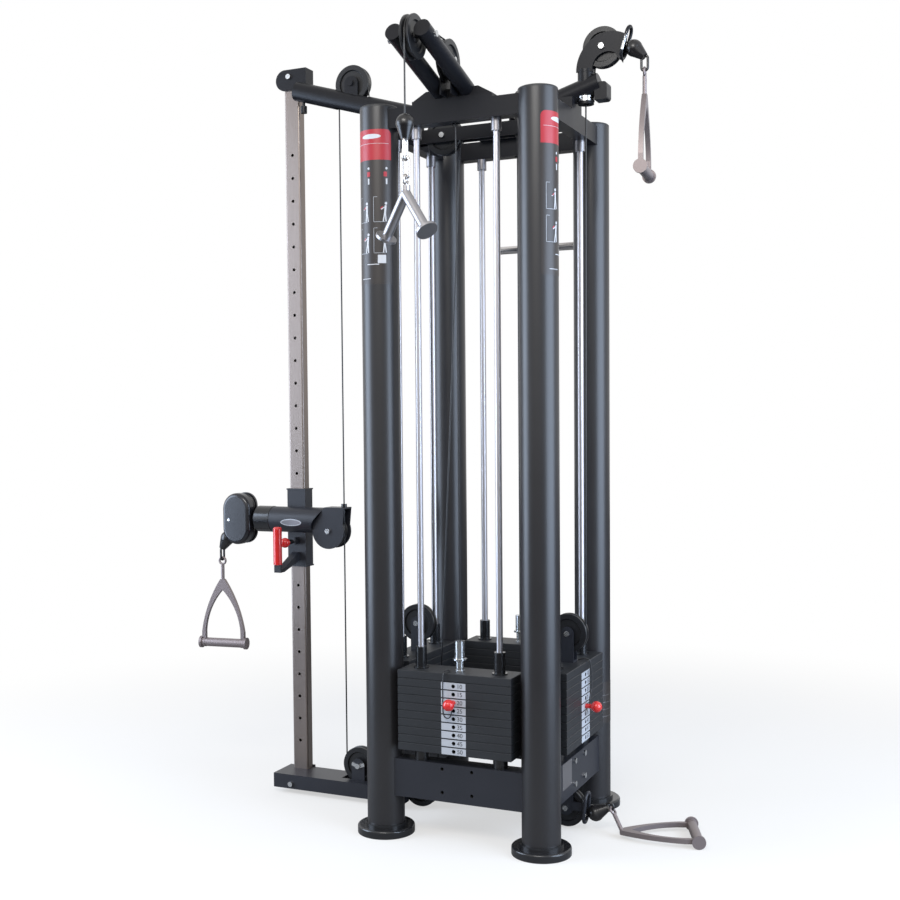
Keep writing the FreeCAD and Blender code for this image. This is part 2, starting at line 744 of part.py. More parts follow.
def arm_cable():
    """Up through the upper beam, over both pulleys of the arms."""
    route = [
        ((-STACK_PLANE, LIFT_JOIN_Z), 0, 1),
        ((-STACK_PLANE - PULLEY_LINE_R, INNER_PULLEY_Z), PULLEY_LINE_R, 1),
        ((-NOSE_PULLEY_Y, NOSE_PULLEY_Z), PULLEY_LINE_R, 1),
        ((LINE_Y, NOSE_PULLEY_Z - 12), 0, 1),
    ]
    return cable(route, on_yz)


def side_inner_route(side):
    """Over the top pulley, down across the tower's middle and round the floor pulley."""
    return [
        ((side * (STACK_PLANE - PULLEY_LINE_R), LIFT_JOIN_SIDE_Z), 0, side),
        ((top_pulley_x(side), TOP_PULLEY_Z), PULLEY_LINE_R, side),
        ((side * FLOOR_PULLEY_X, FLOOR_PULLEY_Z), PULLEY_LINE_R, side),
    ]


def outer_strand(side):
    """Ends of the run from a side stack's pulley up to the last pulley before the handle."""
    floating = ((side * STACK_PLANE, FLOATING_Z), PULLEY_LINE_R, side)
    if side < 0:
        top = ((OUTRIGGER_X, OUTRIGGER_TOP_Z), PULLEY_LINE_R, 1)
    else:
        top = ((SWIVEL_X + PULLEY_LINE_R, HIGH_PULLEY_Z), PULLEY_LINE_R, -1)
    return tangent_points(floating, top)


def strand_join(side, below):
    """The point on the outer strand that far under its upper end."""
    leave, meet = outer_strand(side)
    away = math.hypot(leave[0] - meet[0], leave[1] - meet[1])
    share = below / away
    return meet[0] + (leave[0] - meet[0]) * share, meet[1] + (leave[1] - meet[1]) * share


def left_cable():
    """Top pulley, floor pulley, outrigger base, the long vertical run, outrigger top."""
    route = side_inner_route(-1)
    route.append(((OUTRIGGER_X, OUTRIGGER_BASE_Z), PULLEY_LINE_R, -1))
    route.append(((OUTRIGGER_X, OUTRIGGER_TOP_Z), PULLEY_LINE_R, -1))
    route.append((strand_join(-1, OUTER_JOIN), 0, -1))
    return cable(route, on_xz)


def right_cable():
    """Top pulley, floor pulley and out through the low guide loop to its ball."""
    route = side_inner_route(1)
    route.append((low_cable_end(), 0, 1))
    return cable(route, on_xz)


def low_exit():
    """Where the low cable leaves its floor pulley, and the direction it leaves in."""
    pulley_at = ((FLOOR_PULLEY_X, FLOOR_PULLEY_Z), PULLEY_LINE_R, 1)
    leave, meet = tangent_points(pulley_at, (LOW_BALL, 0, 1))
    away = math.hypot(meet[0] - leave[0], meet[1] - leave[1])
    return leave, ((meet[0] - leave[0]) / away, (meet[1] - leave[1]) / away)


def low_cable_end():
    _, (dx, dz) = low_exit()
    return LOW_BALL[0] - dx * (BALL_R + CABLE_GAP), LOW_BALL[1] - dz * (BALL_R + CABLE_GAP)


def lifted_side_cable(side):
    """Down the inner strand, under the stack's pulley and up the outer strand."""
    join = OUTER_JOIN if side < 0 else HEAD_JOIN
    route = [
        ((side * (STACK_PLANE - PULLEY_LINE_R), LIFT_JOIN_SIDE_Z), 0, side),
        ((side * STACK_PLANE, FLOATING_Z), PULLEY_LINE_R, side),
        (strand_join(side, join), 0, side),
    ]
    return cable(route, on_xz)


def lifted_arm_cable():
    top = STACK_TOP + STEM_H
    return rod_between(V(0, -STACK_PLANE, top), V(0, -STACK_PLANE, LIFT_JOIN_Z), CABLE_R)


def head_exit():
    """Where the high cable leaves its pulley, and the direction it leaves in."""
    wheel = ((SWIVEL_X + PULLEY_LINE_R, HIGH_PULLEY_Z), PULLEY_LINE_R, -1)
    leave, meet = tangent_points(wheel, (HIGH_BALL, 0, -1))
    away = math.hypot(meet[0] - leave[0], meet[1] - leave[1])
    return leave, ((meet[0] - leave[0]) / away, (meet[1] - leave[1]) / away)


def head_cable():
    """From inside the swivel's neck over the high pulley to the ball."""
    _, (dx, dz) = head_exit()
    end = (HIGH_BALL[0] - dx * (BALL_R + CABLE_GAP), HIGH_BALL[1] - dz * (BALL_R + CABLE_GAP))
    route = [
        (strand_join(1, HEAD_JOIN), 0, -1),
        ((SWIVEL_X + PULLEY_LINE_R, HIGH_PULLEY_Z), PULLEY_LINE_R, -1),
        (end, 0, -1),
    ]
    return cable(route, on_xz)


# ---- outrigger ----
def base_beam():
    half = BASE_W / 2
    right = -BEAM_FACE - FLANGE_T
    beam = block(BASE_END_X, right, -half, half, BASE_Z, BASE_Z + BASE_H)
    slot_left = OUTER_LINE_X - PULLEY_RIM - CLEARANCE
    slot = block(slot_left, right + 1, -SLOT_W / 2, SLOT_W / 2, BASE_Z - 1, BASE_Z + BASE_H + 1)
    flange = block(right, -BEAM_FACE, -half, half, BASE_Z, FLANGE_TOP)
    window = block(right - 1, -BEAM_FACE + 1, -SLOT_W / 2, SLOT_W / 2, BASE_Z - 1, LOWER_BEAM_Z)
    pieces = [beam.cut(slot), flange.cut(window)]
    top = BASE_Z + BASE_H
    for sy in (-1, 1):
        y0 = SLOT_W / 2 if sy > 0 else -SLOT_W / 2 - CHEEK_T
        half_w = 25.0
        pieces.append(block(OUTRIGGER_X - half_w, OUTRIGGER_X + half_w, y0, y0 + CHEEK_T, top - 4, OUTRIGGER_BASE_Z))
        pieces.append(solid_cyl(V(OUTRIGGER_X, y0, OUTRIGGER_BASE_Z), V(0, 1, 0), half_w, CHEEK_T))
    pieces.append(axle(V(OUTRIGGER_X, 0, OUTRIGGER_BASE_Z), V(0, -1, 0), SLOT_W / 2 + CHEEK_T))
    bolt_z = BASE_Z + BASE_H / 2 - 8
    pieces.append(solid_cyl(V(UPRIGHT_X + 7, -half - BOLT_HEAD_T, bolt_z), V(0, 1, 0), BOLT_HEAD_R, BOLT_HEAD_T + 1))
    foot_y = UPRIGHT_FRONT + UPRIGHT_D
    beam_whole = joined(pieces)
    seat = block(UPRIGHT_X - 34, UPRIGHT_X + 34, foot_y, half + 8, BASE_Z, top + 6)
    return joined([beam_whole, seat])


def upright():
    z0 = BASE_Z + BASE_H
    x0 = UPRIGHT_X - UPRIGHT_W / 2
    back = UPRIGHT_FRONT + UPRIGHT_D
    outer = block(x0, x0 + UPRIGHT_W, UPRIGHT_FRONT, back, z0, UPRIGHT_TOP)
    corners = [e for e in outer.Edges if abs(e.BoundBox.ZLength) > 100]
    outer = outer.makeFillet(UPRIGHT_EDGE, corners)
    w = UPRIGHT_WALL
    inner = block(x0 + w, x0 + UPRIGHT_W - w, UPRIGHT_FRONT + w, back - w, z0 - 1, UPRIGHT_TOP + 1)
    corners = [e for e in inner.Edges if abs(e.BoundBox.ZLength) > 100]
    inner = inner.makeFillet(UPRIGHT_EDGE - w, corners)
    tube = outer.cut(inner)
    holes = []
    for i in range(HOLE_COUNT):
        z = HOLE_FIRST_Z + i * HOLE_PITCH
        holes.append(solid_cyl(V(UPRIGHT_X, UPRIGHT_FRONT - 1, z), V(0, 1, 0), HOLE_R, w + 2))
    return tube.cut(Part.makeCompound(holes))


def tube_height(x):
    """Height of the outrigger tube's centre line at that X; it rises away from the tower."""
    return TOP_TUBE_Z + (abs(x) - abs(TOP_TUBE_X)) * SLOPE


OUTRIGGER_TOP_Z = tube_height(OUTRIGGER_X) + OUTRIGGER_PULLEY_UP
UPRIGHT_TOP = tube_height(TOP_TUBE_END) + UPRIGHT_OVER
CLAMP_TOP = UPRIGHT_TOP + CLAMP_CAP
CLAMP_Z = CLAMP_TOP - CLAMP_H
CLAMP_RIGHT = UPRIGHT_X + UPRIGHT_W / 2 + CLAMP_REACH
STOPPER_X = UPRIGHT_X + STOPPER_IN


def top_arm():
    inner_x = -BEAM_FACE + UPPER_BEAM_D - 4
    start = V(inner_x, 0, tube_height(inner_x))
    end = V(TOP_TUBE_END, 0, tube_height(TOP_TUBE_END))
    tube = rod_between(start, end, TOP_TUBE_R)
    slot_z = OUTRIGGER_TOP_Z
    slot_half = RIM_R + CLEARANCE
    slot = block(OUTRIGGER_X - slot_half, OUTRIGGER_X + slot_half, -CHEEK_IN, CHEEK_IN, slot_z - 2.5 * slot_half, slot_z)
    tube = tube.cut(slot)
    pieces = [tube]
    for sy in (-1, 1):
        y0 = CHEEK_IN if sy > 0 else -CHEEK_OUT
        half_w = 25.0
        low = tube_height(OUTRIGGER_X) - 10
        pieces.append(block(OUTRIGGER_X - half_w, OUTRIGGER_X + half_w, y0, y0 + CHEEK_T, low, slot_z))
        pieces.append(solid_cyl(V(OUTRIGGER_X, y0, slot_z), V(0, 1, 0), half_w, CHEEK_T))
    pieces.append(axle(V(OUTRIGGER_X, 0, slot_z), V(0, -1, 0), CHEEK_OUT))
    saddle = block(-BEAM_FACE, -BEAM_FACE + UPPER_BEAM_D, -48, 48, UPPER_TOP, tube_height(-BEAM_FACE) - 8)
    pieces.append(saddle)
    outer = UPRIGHT_X - UPRIGHT_W / 2 - SLEEVE_FIT
    back = UPRIGHT_FRONT + UPRIGHT_D
    clamp = block(outer - CLAMP_T + 14, CLAMP_RIGHT, UPRIGHT_FRONT - CLAMP_T, back + CLAMP_T, CLAMP_Z, CLAMP_TOP)
    ear_r = (CLAMP_TOP - CLAMP_Z) / 2
    ear = solid_cyl(V(outer + 7, UPRIGHT_FRONT - CLAMP_T, CLAMP_Z + ear_r), V(0, 1, 0), ear_r, CLAMP_T)
    hollow = block(outer - 60, UPRIGHT_X + UPRIGHT_W / 2 + SLEEVE_FIT, UPRIGHT_FRONT - SLEEVE_FIT, back + SLEEVE_FIT, CLAMP_Z - 1, UPRIGHT_TOP + 1)
    pieces.append(clamp.fuse(ear).cut(hollow))
    bolt = V(UPRIGHT_X - 7, UPRIGHT_FRONT - CLAMP_T - BOLT_HEAD_T, UPRIGHT_TOP - 12)
    pieces.append(solid_cyl(bolt, V(0, 1, 0), BOLT_HEAD_R, BOLT_HEAD_T + 1))
    stop_top = tube_height(STOPPER_X) - TOP_TUBE_R
    pieces.append(solid_cyl(V(STOPPER_X, 0, stop_top - 14), V(0, 0, 1), 5, 20))
    pieces.append(solid_cyl(V(STOPPER_X, 0, stop_top - 14 - STOPPER_H), V(0, 0, 1), STOPPER_R, STOPPER_H))
    return joined(pieces)


# ---- carriage ----
PIN_HOLE_Z = HOLE_FIRST_Z + CARRIAGE_PIN_HOLE * HOLE_PITCH
SLEEVE_FRONT = UPRIGHT_FRONT - SLEEVE_FIT - SLEEVE_WALL
CARRIAGE_PULLEY_X = OUTER_LINE_X - CARRIAGE_LINE_R
COVER_CENTRE = V(CARRIAGE_PULLEY_X, 0, PIN_HOLE_Z + COVER_Z)
AXIS_Z = PIN_HOLE_Z + ARM_TUBE_Z


def sleeve():
    half = UPRIGHT_W / 2 + SLEEVE_FIT
    front = UPRIGHT_FRONT - SLEEVE_FIT
    back = UPRIGHT_FRONT + UPRIGHT_D + SLEEVE_FIT
    w = SLEEVE_WALL
    z0 = PIN_HOLE_Z - SLEEVE_LOW
    z1 = PIN_HOLE_Z + SLEEVE_HIGH
    outer = block(UPRIGHT_X - half - w, UPRIGHT_X + half + w, front - w, back + w, z0, z1)
    for z in (z0, z1 - 5):
        rim = block(UPRIGHT_X - half - w - 2, UPRIGHT_X + half + w + 2, front - w - 2, back + w + 2, z, z + 5)
        outer = outer.fuse(rim)
    return outer


def sleeve_space():
    half = UPRIGHT_W / 2 + SLEEVE_FIT
    back = UPRIGHT_FRONT + UPRIGHT_D + SLEEVE_FIT
    return block(UPRIGHT_X - half, UPRIGHT_X + half, UPRIGHT_FRONT - SLEEVE_FIT, back, 0, UPRIGHT_TOP)


def cover_outline(y0, y1, grow):
    c = COVER_CENTRE
    r = COVER_R + grow
    top = PIN_HOLE_Z + COVER_TOP
    right = OUTER_LINE_X + 14
    disc = solid_cyl(V(c.x, y0, c.z), V(0, 1, 0), r, y1 - y0)
    corner = [
        (c.x, c.z - r / 2),
        (c.x + r - 6, c.z),
        (right, top),
        (c.x - 14 - grow, top),
        (c.x - r * 0.78, c.z + r * 0.62),
    ]
    return disc.fuse(extruded(corner, y0, y1)).removeSplitter()


def carriage():
    tube = solid_cyl(V(ARM_TUBE_LEFT, 0, AXIS_Z), V(1, 0, 0), ARM_TUBE_R, ARM_TUBE_RIGHT - ARM_TUBE_LEFT)
    tube = tube.cut(cover_outline(-ARM_TUBE_R - 1, ARM_TUBE_R + 1, 1.0))
    bore = solid_cyl(V(ARM_TUBE_LEFT - 1, 0, AXIS_Z), V(1, 0, 0), ARM_TUBE_R - ARM_TUBE_WALL, ARM_TUBE_RIGHT - ARM_TUBE_LEFT + 2)
    wall_half = UPRIGHT_W / 2 + SLEEVE_FIT + SLEEVE_WALL + 8
    wall_box = block(UPRIGHT_X - wall_half, UPRIGHT_X + wall_half, SLEEVE_FRONT, ARM_TUBE_R + 1, 0, UPRIGHT_TOP)
    body = sleeve().fuse(tube)
    body = body.cut(bore.cut(wall_box)).cut(sleeve_space())
    pieces = [body]
    for y0 in (-COVER_HALF, COVER_HALF - COVER_T):
        pieces.append(cover_outline(y0, y0 + COVER_T, 0.0))
    top = PIN_HOLE_Z + COVER_TOP
    lid = block(CARRIAGE_PULLEY_X - 14, OUTER_LINE_X + 14, -COVER_HALF, COVER_HALF, top - COVER_T, top)
    bush = solid_cyl(V(OUTER_LINE_X, 0, top), V(0, 0, 1), INLET_R, INLET_H)
    passage = solid_cyl(V(OUTER_LINE_X, 0, top - 20), V(0, 0, 1), CABLE_R + 1, 20 + INLET_H + 1)
    pieces.append(lid.fuse(bush).cut(passage))
    web_x = CARRIAGE_PULLEY_X - COVER_R - 1
    pieces.append(block(web_x - 8, web_x + 16, -COVER_HALF, -COVER_HALF + COVER_T, AXIS_Z - 22, AXIS_Z + 22))
    pieces.append(block(web_x - 8, web_x + 16, COVER_HALF - COVER_T, COVER_HALF, AXIS_Z - 22, AXIS_Z + 22))
    pieces.append(axle(COVER_CENTRE, V(0, -1, 0), COVER_HALF))
    nose = Part.makeCone(ARM_TUBE_R - 3, ARM_TUBE_R - 14, 10, V(ARM_TUBE_LEFT, 0, AXIS_Z), V(-1, 0, 0))
    nose = nose.cut(solid_cyl(V(ARM_TUBE_LEFT + 1, 0, AXIS_Z), V(-1, 0, 0), HEAD_SPIGOT_R + SPIGOT_FIT, 30))
    ring = solid_cyl(V(ARM_TUBE_LEFT, 0, AXIS_Z), V(1, 0, 0), ARM_TUBE_R - ARM_TUBE_WALL, 12)
    ring = ring.cut(solid_cyl(V(ARM_TUBE_LEFT - 1, 0, AXIS_Z), V(1, 0, 0), HEAD_SPIGOT_R + SPIGOT_FIT, 30))
    pieces += [nose, ring]
    pieces.append(lever())
    pieces.append(pop_barrel())
    return joined(pieces)


def lever():
    """A flat bar from the sleeve's front, down and out, then straight up as a handle."""
    x0 = UPRIGHT_X - LEVER_W / 2
    y_out = SLEEVE_FRONT - LEVER_OUT
    low = PIN_HOLE_Z + LEVER_LOW
    root = PIN_HOLE_Z + LEVER_ROOT
    t = LEVER_T
    outline = [
        (SLEEVE_FRONT + 1, root),
        (SLEEVE_FRONT + 1, root - 26),
        (SLEEVE_FRONT - 4, root - 30),
        (y_out + 26, low),
        (y_out, low),
        (y_out, PIN_HOLE_Z + LEVER_TOP - 10),
        (y_out + t, PIN_HOLE_Z + LEVER_TOP - 10),
        (y_out + t, low + t + 4),
        (y_out + 24, low + t + 4),
        (SLEEVE_FRONT - 12, root),
    ]
    corners = [V(x0, y, z) for y, z in outline]
    face = Part.Face(Part.makePolygon(corners + corners[:1]))
    return face.extrude(V(LEVER_W, 0, 0))


def lever_grip():
    y_out = SLEEVE_FRONT - LEVER_OUT + LEVER_T / 2
    z0 = PIN_HOLE_Z + LEVER_LOW + 28
    height = LEVER_TOP - LEVER_LOW - 28
    at = V(UPRIGHT_X, y_out, z0)
    grip = solid_cyl(at, V(0, 0, 1), LEVER_GRIP_R, height)
    grip = grip.makeFillet(7, [e for e in grip.Edges if e.BoundBox.ZMin > z0 + 5 and len(e.Vertexes) == 1])
    f = WELD_GAP
    hole = block(UPRIGHT_X - LEVER_W / 2 - f, UPRIGHT_X + LEVER_W / 2 + f, y_out - LEVER_T / 2 - f, y_out + LEVER_T / 2 + f, z0 - 1, PIN_HOLE_Z + LEVER_TOP - 10 + f)
    return grip.cut(hole)


def pop_barrel():
    at = V(UPRIGHT_X, SLEEVE_FRONT + 1, PIN_HOLE_Z)
    barrel = solid_cyl(at, V(0, -1, 0), POP_BARREL_R, POP_BARREL_L)
    return barrel.cut(solid_cyl(at + V(0, 30, 0), V(0, -1, 0), POP_R + AXLE_FIT, 90))


def cut_pop_bore(body):
    at = V(UPRIGHT_X, UPRIGHT_FRONT, PIN_HOLE_Z)
    return body.cut(solid_cyl(at, V(0, -1, 0), POP_R + AXLE_FIT, 60))


def pop_pin():
    inner = UPRIGHT_FRONT - POP_DRAWN_GAP
    knob_y = SLEEVE_FRONT - POP_KNOB_OUT
    shaft = rod_between(V(UPRIGHT_X, inner, PIN_HOLE_Z), V(UPRIGHT_X, knob_y, PIN_HOLE_Z), POP_R)
    start = SLEEVE_FRONT - POP_BARREL_L - POP_TRAVEL - CABLE_GAP
    neck = Part.makeCone(8, 11, start - knob_y - 8, V(UPRIGHT_X, start, PIN_HOLE_Z), V(0, -1, 0))
    knob = Part.makeSphere(POP_KNOB_R, V(UPRIGHT_X, knob_y, PIN_HOLE_Z))
    return joined([shaft, neck, knob])


def inner_line_route():
    """The arm's cable: over the carriage's pulley, then over the swivel head's lower pulley."""
    centre = (COVER_CENTRE.x, COVER_CENTRE.z)
    return [
        (centre, CARRIAGE_LINE_R, 1),
        ((HEAD_X, swivel_wheel_z(-1)), SWIVEL_LINE_R, 1),
    ]


def inner_line_at(x):
    """The point of the straight run inside the arm at a given X."""
    leave, meet = tangent_points(inner_line_route()[0], inner_line_route()[1])
    share = (x - leave[0]) / (meet[0] - leave[0])
    return x, leave[1] + (meet[1] - leave[1]) * share


def carriage_cable():
    """Inside the arm, from over the carriage's pulley to the tube's mouth."""
    c = COVER_CENTRE
    start = math.radians(INLET_ANGLE)
    on_wheel = (c.x + CARRIAGE_LINE_R * math.cos(start), c.z + CARRIAGE_LINE_R * math.sin(start))
    before = (on_wheel[0] + 4 * math.sin(start), on_wheel[1] - 4 * math.cos(start))
    mouth = inner_line_at(ARM_TUBE_LEFT + 4 + WELD_GAP)
    return cable([(before, 0, 1), inner_line_route()[0], (mouth, 0, 1)], on_xz)


def swivel_cable():
    """From the tube's mouth over the head's lower pulley to where it hangs free."""
    tangent, along = left_tangent(), left_way()
    past = (tangent[0] + along.x * 6, tangent[1] + along.z * 6)
    mouth = inner_line_at(ARM_TUBE_LEFT + 4 - WELD_GAP)
    return cable([(mouth, 0, 1), inner_line_route()[1], (past, 0, 1)], on_xz)


def carriage_pulley():
    return pulley(COVER_CENTRE, V(0, 1, 0), CARRIAGE_LINE_R, CARRIAGE_RIM, PULLEY_W)


def swivel_wheel_z(side):
    return AXIS_Z + side * SWIVEL_OFFSET


def swivel_head():
    """Two thick obround cheeks on a spigot that turns in the arm tube's mouth, with a pulley pair between."""
    pieces = []
    for front, half, thick in ((True, HEAD_HALF, HEAD_THICK), (False, HEAD_BACK_HALF, HEAD_BACK_THICK)):
        y0 = -HEAD_INNER - thick if front else HEAD_INNER
        y1 = y0 + thick
        flat = HEAD_TALL - half
        cheek = block(HEAD_X - half, HEAD_X + half, y0, y1, AXIS_Z - flat, AXIS_Z + flat)
        for sz in (-1, 1):
            cheek = cheek.fuse(solid_cyl(V(HEAD_X, y0, AXIS_Z + sz * flat), V(0, 1, 0), half, thick))
        cheek = cheek.removeSplitter()
        outer_y = y0 if front else y1
        rim = [e for e in cheek.Edges if abs(e.BoundBox.YMin - outer_y) < 0.5 and abs(e.BoundBox.YMax - outer_y) < 0.5]
        cheek = cheek.makeFillet(14 if front else 6, rim)
        pieces.append(cheek)
    right = HEAD_X + HEAD_HALF
    spigot = solid_cyl(V(right - 8, 0, AXIS_Z), V(1, 0, 0), HEAD_SPIGOT_R, ARM_TUBE_LEFT + 11 - right + 8)
    spigot = spigot.cut(solid_cyl(V(right - 20, 0, AXIS_Z), V(1, 0, 0), SWIVEL_BORE, 80))
    pieces.append(spigot)
    for side in (-1, 1):
        pieces.append(axle(V(HEAD_X, 0, swivel_wheel_z(side)), V(0, -1, 0), HEAD_INNER + 2))
    screw = solid_cyl(V(HEAD_X - 28, -HEAD_INNER - HEAD_THICK - 1.5, AXIS_Z - 4), V(0, 1, 0), 5, 4)
    pieces.append(screw)
    head = joined(pieces)
    return head


def swivel_pulleys():
    wheels = []
    for side in (-1, 1):
        at = V(HEAD_X, 0, swivel_wheel_z(side))
        wheels.append(pulley(at, V(0, 1, 0), SWIVEL_LINE_R, SWIVEL_RIM - 1.5, PULLEY_W))
    return wheels


# ---- right station ----
def right_arm():
    start = V(RIGHT_TUBE_START, 0, tube_height(RIGHT_TUBE_START))
    end = V(RIGHT_TUBE_END, 0, tube_height(RIGHT_TUBE_END))
    pieces = [rod_between(start, end, TOP_TUBE_R)]
    saddle_x = BEAM_FACE - UPPER_BEAM_D
    pieces.append(block(saddle_x, BEAM_FACE, -48, 48, UPPER_TOP, tube_height(saddle_x) - 6))
    pieces.append(solid_cyl(V(SWIVEL_X, 0, BEARING_LOW), V(0, 0, 1), BEARING_R, SWIVEL_SEAT_Z - BEARING_LOW))
    pieces.append(solid_cyl(V(SWIVEL_X, 0, tube_height(SWIVEL_X)), V(0, 0, 1), SWIVEL_R, SWIVEL_SEAT_Z - tube_height(SWIVEL_X)))
    for z in (BEARING_LOW + 8, BEARING_LOW + 18):
        pieces.append(solid_cyl(V(SWIVEL_X, 0, z), V(0, 0, 1), BEARING_R + 2, 5))
    low = tube_height(RIGHT_TUBE_END) - 56
    stop = block(RIGHT_TUBE_END - 12, RIGHT_TUBE_END + STOP_BLOCK_L, -24, 24, low, low + 54)
    edge = [e for e in stop.Edges if abs(e.BoundBox.YLength) > 40 and e.BoundBox.XMin > RIGHT_TUBE_END + 5]
    pieces.append(stop.makeFillet(10, edge))
    whole = joined(pieces)
    return whole.cut(solid_cyl(V(SWIVEL_X, 0, BEARING_LOW - 1), V(0, 0, 1), SWIVEL_BORE, 200))


def head_cheek(y0):
    """The hook-shaped plate at each side of the high pulley."""
    x = SWIVEL_X
    z = SWIVEL_SEAT_Z + SWIVEL_GAP
    outer = Part.Arc(V(x - 26, y0, z), V(x - 9, y0, z + 62), V(x + 36, y0, z + 104)).toShape()
    top = Part.Arc(V(x + 36, y0, z + 104), V(x + 82, y0, z + 114), V(x + 128, y0, z + 102)).toShape()
    right = Part.LineSegment(V(x + 128, y0, z + 102), V(x + 114, y0, z + 22)).toShape()
    lip = Part.LineSegment(V(x + 114, y0, z + 22), V(x + 100, y0, z + 46)).toShape()
    arch = Part.Arc(V(x + 100, y0, z + 46), V(x + 56, y0, z + 50), V(x + 26, y0, z)).toShape()
    foot = Part.LineSegment(V(x + 26, y0, z), V(x - 26, y0, z)).toShape()
    face = Part.Face(Part.Wire([outer, top, right, lip, arch, foot]))
    return face.extrude(V(0, CHEEK_T, 0))


def right_head():
    z = SWIVEL_SEAT_Z + SWIVEL_GAP
    neck = solid_cyl(V(SWIVEL_X, 0, z), V(0, 0, 1), SWIVEL_R, 9)
    pieces = [neck, head_cheek(-CHEEK_OUT), head_cheek(CHEEK_IN)]
    pieces.append(axle(V(SWIVEL_X + PULLEY_LINE_R, 0, HIGH_PULLEY_Z), V(0, -1, 0), CHEEK_OUT))
    loop_at = V(SWIVEL_X + PULLEY_LINE_R + HIGH_LOOP_OUT, 0, HIGH_PULLEY_Z + 6)
    pieces.append(wire_loop(loop_at, V(0.3, 0, 1), V(0, 1, 0), LOOP_TALL, LOOP_WIDE, LOOP_WIRE_R))
    whole = joined(pieces)
    return whole.cut(solid_cyl(V(SWIVEL_X, 0, z - 1), V(0, 0, 1), SWIVEL_BORE, 12))


def head_pulley():
    at = V(SWIVEL_X + PULLEY_LINE_R, 0, HIGH_PULLEY_Z)
    return pulley(at, V(0, 1, 0), PULLEY_LINE_R, PULLEY_RIM, PULLEY_W)


def floor_pulley(side):
    at = V(side * FLOOR_PULLEY_X, 0, FLOOR_PULLEY_Z)
    return pulley(at, V(0, 1, 0), PULLEY_LINE_R, PULLEY_RIM, PULLEY_W)


# ---- cable ends and handles ----
def ball_stop(at, along):
    """The rubber ball that stops the cable, tapering to its eye."""
    unit = V(along).normalize()
    ball = Part.makeSphere(BALL_R, at)
    cone = Part.makeCone(BALL_R * 0.9, BALL_TIP_R, BALL_TAPER, at + unit * (BALL_R * 0.42), unit)
    return joined([ball, cone])


def ball_tip(at, along):
    return at + V(along).normalize() * (BALL_R * 0.42 + BALL_TAPER)


def link_from(start, way, side_way, length):
    """A steel link whose first end lies at a point; it runs that way."""
    unit = V(way).normalize()
    return wire_loop(start + unit * (length / 2), unit, side_way, length, LINK_W, WIRE_R)


def eye_past(start, way, length):
    """Centre of an eye threaded on the far end of a link."""
    return start + V(way).normalize() * (length - CABLE_GAP)


def eye_ring(eye_at, eye_axis):
    """A round ring whose inside is bored true, so that it turns about its own middle."""
    ring = Part.makeTorus(EYE_R + WIRE_R, WIRE_R, eye_at, eye_axis)
    unit = V(eye_axis).normalize()
    bore = solid_cyl(eye_at - unit * (2 * WIRE_R), unit, EYE_R + EYE_BORE, 4 * WIRE_R)
    return one_solid(ring.cut(bore))


def shank(eye_at, way, eye_axis):
    """The snap shank between a cable's end and a bow: an eye and a round bar."""
    unit = V(way).normalize()
    start = eye_at + unit * (EYE_R + WIRE_R)
    return [eye_ring(eye_at, eye_axis), solid_cyl(start, unit, SHANK_R, SHANK_L - EYE_R - WIRE_R)]


def bow():
    """The bow of a handle hanging from its apex, with end bosses and discs; its grip runs along X."""
    low = -BOW_TALL
    h = BOW_HALF
    w = BOW_W
    y = -BOW_T / 2
    start = V(-8, y, 8)
    shoulder = V(-h, y, low + 40)
    a = V(-h, y, low)
    b = V(-h + w, y, low)
    c = V(-h + w, y, low + 44)
    apex = V(0, y, -30)
    peak = V(0, y, 8)
    wires = [
        Part.Arc(start, V(-h * 0.66, y, -BOW_TALL * 0.36), shoulder).toShape(),
        Part.LineSegment(shoulder, a).toShape(),
        Part.LineSegment(a, b).toShape(),
        Part.LineSegment(b, c).toShape(),
        Part.Arc(c, V(-h * 0.48, y, -BOW_TALL * 0.37), apex).toShape(),
        Part.LineSegment(apex, peak).toShape(),
        Part.LineSegment(peak, start).toShape(),
    ]
    half_bow = Part.Face(Part.Wire(wires)).extrude(V(0, BOW_T, 0))
    pieces = [half_bow, half_bow.mirror(V(0, 0, 0), V(1, 0, 0))]
    for sx in (-1, 1):
        pieces.append(solid_cyl(V(sx * (h - w), 0, low), V(sx, 0, 0), GRIP_R + 1, w))
        pieces.append(solid_cyl(V(sx * h, 0, low), V(sx, 0, 0), GRIP_DISC_R, GRIP_DISC_T))
    return pieces


def bow_grip():
    reach = BOW_HALF - BOW_W - WELD_GAP
    return solid_cyl(V(-reach, 0, -BOW_TALL), V(1, 0, 0), GRIP_R, 2 * reach)


def hanging_stirrup(eye_at, turn):
    """Shank, bow and grip straight below an eye."""
    top = V(0, 0, 0)
    pieces = shank(top, V(0, 0, -1), V(0, 1, 0))
    for piece in bow():
        piece.translate(V(0, 0, -SHANK_L))
        pieces.append(piece)
    grip = bow_grip()
    grip.translate(V(0, 0, -SHANK_L))
    return hung([joined(pieces), grip], eye_at, turn)


def hung(pieces, at, turn):
    """The pieces turned about their own Z and moved to hang from a point."""
    placed = []
    for piece in pieces:
        piece.rotate(V(0, 0, 0), V(0, 0, 1), turn)
        piece.translate(at)
        placed.append(piece)
    return placed


def pull_ball():
    return V(0, LINE_Y, PULL_BALL_Z)


def pull_end():
    """Front cable end: the last run from the nose pulley, its ball and two links."""
    down = V(0, 0, -1)
    top = V(0, LINE_Y, NOSE_PULLEY_Z - 12 - WELD_GAP)
    first = ball_tip(pull_ball(), down) + V(0, 0, 8)
    second = first + down * (CHAIN_LINK_L - 4 * WIRE_R - CABLE_GAP)
    line = rod_between(top, pull_ball(), CABLE_R)
    upper = link_from(first, down, V(0, 1, 0), CHAIN_LINK_L)
    lower = link_from(second, down, V(1, 0, 0), CHAIN_LINK_L)
    return [joined([line, ball_stop(pull_ball(), down), upper]), lower, swivel_stud()]


